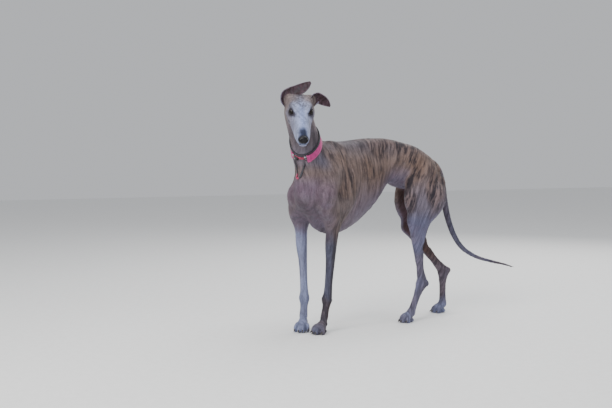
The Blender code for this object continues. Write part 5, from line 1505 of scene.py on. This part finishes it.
def plasticMaterial():
    m = Shader("blackPlastic")
    grain = m.noise(m.objectPlace(), scale=2600.0, detail=2.0)
    scuff = m.noise(m.objectPlace(), scale=260.0, detail=4.0, rough=0.7)
    m.set(Base_Color=m.mix(scuff.ramp(0.5, 0.72) * 0.6, (0.014, 0.014, 0.016), (0.055, 0.055, 0.058)),
          Roughness=scuff.ramp(0.3, 0.7, 0.34, 0.52))
    m.bump(grain, 0.0002, 0.4)
    return m.material


# short tufts where the coat breaks the outline
tuftPlan = dict(
    seed=11,
    counts=dict(coatRear=19000, coatFlank=19000, coatFront=19000),
    body=0.0052,
    width=0.00062,
    lift=0.07,
    rooted=0.0006,                      # how deep a tuft stands in the skin
    stray=0.13,                         # how far its lie wanders
    shade=(0.88, 1.12),
    flatSize=0.0014,                    # half a tuft's patch on the bake map
)


def unwrapCopy(skin):
    # a light copy of the skin, unwrapped once, gives every tuft its place on the flat
    copy = bpy.data.objects.new("unwrap", skin.data.copy())
    bpy.context.collection.objects.link(copy)
    copy.data.calc_loop_triangles()
    modified(copy, "DECIMATE", ratio=7000 / len(copy.data.loop_triangles))
    bpy.ops.object.select_all(action="DESELECT")
    copy.select_set(True)
    bpy.context.view_layer.objects.active = copy
    bpy.ops.object.mode_set(mode="EDIT")
    bpy.ops.mesh.select_all(action="SELECT")
    bpy.ops.uv.smart_project(angle_limit=math.radians(66), island_margin=0.004)
    bpy.ops.object.mode_set(mode="OBJECT")
    mesh = copy.data
    mesh.calc_loop_triangles()
    co = pointsOf(copy)
    uv = np.empty(len(mesh.loops) * 2)
    mesh.uv_layers.active.data.foreach_get("uv", uv)
    uv = uv.reshape(-1, 2)
    tri = np.array([t.vertices[:] for t in mesh.loop_triangles])
    loops = np.array([t.loops[:] for t in mesh.loop_triangles])
    tree = BVHTree.FromPolygons([Vector(c) for c in co], [tuple(t) for t in tri])
    bpy.data.objects.remove(copy, do_unlink=True)

    def flat(points):
        out = np.zeros((len(points), 2))
        for k, p in enumerate(points):
            hit, _, face, _ = tree.find_nearest(Vector(p))
            a, b, c = co[tri[face]]
            n = np.cross(b - a, c - a)
            area = max(n @ n, 1e-18)
            h = np.array(hit)
            w0 = np.cross(b - h, c - h) @ n / area
            w1 = np.cross(c - h, a - h) @ n / area
            out[k] = w0 * uv[loops[face][0]] + w1 * uv[loops[face][1]] + (1 - w0 - w1) * uv[loops[face][2]]
        return out
    return flat


def growTufts(skin, flat, tone, lie, masks, ear, material):
    rng = np.random.default_rng(tuftPlan["seed"])
    mesh = skin.data
    mesh.calc_loop_triangles()
    tri = np.empty(len(mesh.loop_triangles) * 3, np.int32)
    mesh.loop_triangles.foreach_get("vertices", tri)
    tri = tri.reshape(-1, 3)
    co, nor = pointsOf(skin) - toFrame, normalsOf(skin)
    a, b, c = co[tri[:, 0]], co[tri[:, 1]], co[tri[:, 2]]
    area = np.linalg.norm(np.cross(b - a, c - a), axis=1) / 2
    mid, midN = (a + b + c) / 3, nor[tri].mean(1)
    s, _ = spinePlaces(mid)
    f, _, _ = headPlaces(mid)
    head = headness(mid)
    rear = smoothStep(0.2, 0.7, midN[:, 1]) * smoothStep(0.12, 0.2, mid[:, 1])
    tail = (mid[:, 1] > 0.335) & (np.abs(mid[:, 0]) < 0.032) & (mid[:, 2] < 0.57)
    low = smoothStep(-0.45, -0.85, midN[:, 2]) * (mid[:, 2] > 0.25)
    breast = smoothStep(0.25, 0.31, s) * (mid[:, 2] > 0.34) * (1 - head)
    legs = smoothStep(0.38, 0.32, mid[:, 2]) * ~tail
    weight = 0.55 + 1.6 * rear + 1.8 * tail + 1.2 * low + 1.1 * breast + 0.9 * head
    length = tuftPlan["body"] * (1 + 0.55 * rear + 0.5 * tail - 0.1 * breast - 0.2 * low)
    length = length * (1 - 0.35 * legs) * (1 - 0.5 * head)
    length = np.where(mid[:, 2] < 0.05, 0.0028, length)
    weight = np.where(mid[:, 2] < 0.012, 0.0, weight)
    length = np.where((head > 0.5) & (f > 0.03), 0.0024, length)
    bald = (head > 0.9) & ((f > 0.116) | (lidRatio(mid, 1)[0] < 1.5) | (lidRatio(mid, -1)[0] < 1.5)
                           | (np.abs(mouthSide(mid)[0]) < 0.002) & (mouthSide(mid)[1] < 1.1))
    middle, _, _, up = neckFrame()
    drop = -(mid - middle) @ up
    bald |= ear[tri].max(1) > 0.2
    bald |= (drop > -0.004) & (drop < 0.03) & (np.linalg.norm(mid - middle, axis=1) < 0.1)
    weight = np.where(bald, 0.0, weight)
    way = hairWay(mid, midN)
    lift = tuftPlan["lift"] * (1 + 0.7 * rear + 0.6 * tail + 0.4 * low) * (1 - 0.35 * head)
    pieces = []
    for name, count in tuftPlan["counts"].items():
        zone = dict(coatRear=s < -0.1, coatFlank=(s >= -0.1) & (s < 0.2), coatFront=s >= 0.2)[name]
        chance = area * weight * zone
        chosen = rng.choice(len(tri), count, p=chance / chance.sum())
        r1, r2 = np.sqrt(rng.random(count)), rng.random(count)
        bary = np.column_stack([1 - r1, r1 * (1 - r2), r1 * r2])

        def mixed(values):
            return (values[tri[chosen]] * bary[:, :, None]).sum(1)
        p, n = mixed(co), mixed(nor)
        n /= np.linalg.norm(n, axis=1)[:, None]
        d = way[chosen] + rng.normal(0, tuftPlan["stray"], (count, 3))
        d -= n * (d * n).sum(1)[:, None]
        d /= np.linalg.norm(d, axis=1)[:, None]
        w = np.cross(n, d)
        long = length[chosen] * rng.uniform(0.7, 1.25, count)
        wide = tuftPlan["width"] * np.sqrt(long / tuftPlan["body"]) * rng.uniform(0.8, 1.3, count)
        rise = lift[chosen] * rng.uniform(0.5, 1.5, count)
        reach, spread = d * long[:, None], w * wide[:, None]
        thick, height = n * wide[:, None], n * (long * rise)[:, None]
        root, half = p - n * tuftPlan["rooted"], p + reach * 0.5 + height * 0.62
        rows = [root - spread * 0.5, root + spread * 0.5, root + n * tuftPlan["rooted"] + thick * 0.3,
                half - spread * 0.42, half + spread * 0.42, half + thick * 0.28, p + reach + height * 0.86]
        points = np.stack(rows, 1).reshape(-1, 3) + toFrame
        points[:, 2] = np.maximum(points[:, 2], 0.0003)
        quads = np.array([(0, 1, 4, 3), (1, 2, 5, 4), (2, 0, 3, 5)])
        tris = np.array([(3, 4, 6), (4, 5, 6), (5, 3, 6), (2, 1, 0)])
        base = (np.arange(count) * 7)[:, None, None]
        faces = np.concatenate([(quads[None] + base).ravel(), (tris[None] + base).ravel()])
        sizes = np.concatenate([np.full(count * 3, 4), np.full(count * 4, 3)])
        tufts = bpy.data.meshes.new(name)
        tufts.vertices.add(len(points))
        tufts.vertices.foreach_set("co", points.astype(np.float32).ravel())
        tufts.loops.add(len(faces))
        tufts.loops.foreach_set("vertex_index", faces.astype(np.int32))
        tufts.polygons.add(len(sizes))
        tufts.polygons.foreach_set("loop_start", np.concatenate([[0], np.cumsum(sizes)[:-1]]).astype(np.int32))
        tufts.update(calc_edges=True)
        place = flat(p + toFrame)
        shape = np.array([(-0.8, -1), (0.8, -1), (0, -0.6), (-0.6, 0.2), (0.6, 0.2), (0, 0.5), (0, 1)])
        shape = shape * tuftPlan["flatSize"]
        spots = (place[:, None] + shape[None]).reshape(-1, 2)
        layer = tufts.uv_layers.new(name="OFBake")
        layer.data.foreach_set("uv", spots[faces].astype(np.float32).ravel())
        item = bpy.data.objects.new(name, tufts)
        bpy.context.collection.objects.link(item)
        shade = rng.uniform(*tuftPlan["shade"], count)[:, None]
        storeMarks(item, *(np.repeat(values, 7, 0) for values in (mixed(tone) * shade, mixed(lie), mixed(masks))))
        tufts.shade_smooth()
        tufts.normals_split_custom_set_from_vertices(np.repeat(n, 7, 0))
        tufts.materials.append(material)
        pieces.append(item)
        print(name, count, "tufts")
    return pieces


# the stage: pale floor, soft light and the photo's view
stagePlan = dict(
    camera=(3.4457, -1.7381, 0.687),    # in the plan's own coordinates
    bearing=66.5,
    down=3.5,
    lens=59.6,
    floor=(0.88, 0.88, 0.87),
    sky=(0.88, 0.9, 0.94, 1.0),
    skyPower=0.64,
    lights=dict(                        # right, back and up from the model, size, power, colour
        keyLight=(-1.6, 2.4, 2.0, 1.8, 92.0, (1.0, 0.985, 0.96)),
        fillLight=(2.4, 1.8, 1.0, 2.2, 15.0, (0.93, 0.96, 1.0)),
        topLight=(0.4, -0.6, 2.8, 2.4, 62.0, (0.96, 0.98, 1.0)),
        rearLight=(1.2, -2.6, 1.5, 1.8, 36.0, (1.0, 0.98, 0.95)),
    ),
)


def buildStage():
    shape = bmesh.new()
    bmesh.ops.create_grid(shape, x_segments=24, y_segments=24, size=9.0)
    floor = objectOf("floor", shape)
    m = Shader("paleFloor")
    grain = m.noise(m.objectPlace(), scale=38.0, detail=4.0)
    m.set(Base_Color=m.mix(grain.ramp(0.3, 0.7), stagePlan["floor"], tuple(c * 0.965 for c in stagePlan["floor"])),
          Roughness=0.85)
    floor.data.materials.append(m.material)
    world = bpy.data.worlds.new("softRoom")
    bpy.context.scene.world = world
    world.use_nodes = True
    world.node_tree.nodes["Background"].inputs[0].default_value = stagePlan["sky"]
    world.node_tree.nodes["Background"].inputs[1].default_value = stagePlan["skyPower"]
    a, down = math.radians(stagePlan["bearing"]), math.radians(stagePlan["down"])
    right = np.array([math.cos(a), math.sin(a), 0.0])
    back = np.array([math.sin(a), -math.cos(a), 0.0])
    ahead = -back * math.cos(down) - zUp * math.sin(down)
    top = np.cross(right, ahead)
    camera = bpy.data.objects.new("camera", bpy.data.cameras.new("camera"))
    camera.data.lens = stagePlan["lens"]
    camera.data.sensor_width = 36.0
    camera.data.clip_end = 60.0
    place = np.array(stagePlan["camera"]) + toFrame
    turn = Matrix.Identity(4)
    for column, way in enumerate((right, top, -ahead)):
        turn.col[column][:3] = way
    turn.col[3][:3] = place
    camera.matrix_world = turn
    bpy.context.collection.objects.link(camera)
    bpy.context.scene.camera = camera
    middle = np.array([0.0, 0.0, 0.5])
    for name, (aside, behind, above, size, power, colour) in stagePlan["lights"].items():
        offset = right * aside + back * behind + zUp * above
        light = bpy.data.lights.new(name, "AREA")
        light.energy, light.size, light.color = power, size, colour
        lamp = bpy.data.objects.new(name, light)
        lamp.location = Vector(middle + offset)
        lamp.rotation_euler = Vector(offset).to_track_quat("Z", "Y").to_euler()
        bpy.context.collection.objects.link(lamp)


# everything in order
buildStage()
print("stage ready")
skin, muscles, clawTubes = buildSkin()
hollows = headHollows()
grids = growEars(skin)
blendRoots(skin, muscles, hollows)
skin.data.calc_loop_triangles()
faces = len(skin.data.loop_triangles)
if faces > skinPlan["triangles"]:
    modified(skin, "DECIMATE", ratio=skinPlan["triangles"] / faces)
modified(skin, "TRIANGULATE")
print("skin and ears:", len(skin.data.vertices), "points,", len(skin.data.polygons), "triangles")
points, normals = pointsOf(skin), normalsOf(skin)
earPart = np.zeros(len(points))
upper = (headness(points) > 0.02) & (headPlaces(points)[2] > -0.02) | (points[:, 2] > 0.8)
beyond = field(muscles, hollows, points[upper])
earPart[upper] = smoothStep(0.0012, 0.0034, beyond)
rim, tip = np.zeros(len(points)), np.zeros(len(points))
rim[upper], tip[upper] = earField(points[upper], grids)
tone, lie, masks = markings(points, normals, earPart, rim, tip)
storeMarks(skin, tone, lie, masks)
coatLook = coatMaterial("shortCoat")
skin.data.materials.clear()
skin.data.materials.append(coatLook)
toPlace(skin)
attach(skin, "root")
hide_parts("ear_left", "ear_right", *[n for n in flesh if n not in ("nose", "eye_left", "eye_right")])
print("skin marked")

flat = unwrapCopy(skin)
for tufts in growTufts(skin, flat, tone, lie, masks, earPart, coatMaterial("shortTufts", bumpy=False)):
    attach(tufts, "root")

eyeLook = eyeMaterial()
for name, side, node in (("eyeRight", -1, "eye_right"), ("eyeLeft", 1, "eye_left")):
    eye = buildEye(name, side)
    eye.data.materials.append(eyeLook)
    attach(eye, "root")
    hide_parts(node)
nosePad = buildNose()
nosePad.data.materials.clear()
nosePad.data.materials.append(noseMaterial())
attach(nosePad, "root")
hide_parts("nose")
clawSet = buildClaws(clawTubes)
clawSet.data.materials.append(clawMaterial())
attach(clawSet, "root")
print("eyes, nose and claws")

pink = weaveMaterial("pinkWebbing", (0.3, 0.02, 0.115), (0.59, 0.055, 0.26), 9, 190,
                     dict(at=0.88, count=95, thread=(0.68, 0.19, 0.38)))
collarLooks = dict(
    collarWebbing=(pink, "webbing"), collarFoldLeft=(pink, "webbing"), collarFoldRight=(pink, "webbing"),
    collarPiping=(weaveMaterial("blackPiping", (0.008, 0.008, 0.013), (0.03, 0.03, 0.042), 5, 260), "piping"),
    collarHem=(weaveMaterial("blackBinding", (0.01, 0.01, 0.015), (0.035, 0.035, 0.048), 4, 240,
                             dict(at=0.8, count=110, thread=(0.06, 0.06, 0.075))), "piping"),
    controlLoop=(weaveMaterial("controlStrap", (0.01, 0.01, 0.016), (0.04, 0.04, 0.055), 5, 60), "piping"),
    throatStrap=(weaveMaterial("redWebbing", (0.23, 0.012, 0.045), (0.52, 0.04, 0.12), 5, 22), "webbing_dark"),
    buckle=(plasticMaterial(), "buckle"),
)
steel = steelMaterial()
for name, (item, node) in buildCollar().items():
    look, slot = collarLooks.get(name, (steel, "slide"))
    item.data.materials.clear()
    item.data.materials.append(look)
    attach(item, "root")
    if node:
        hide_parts(node)
print("collar")
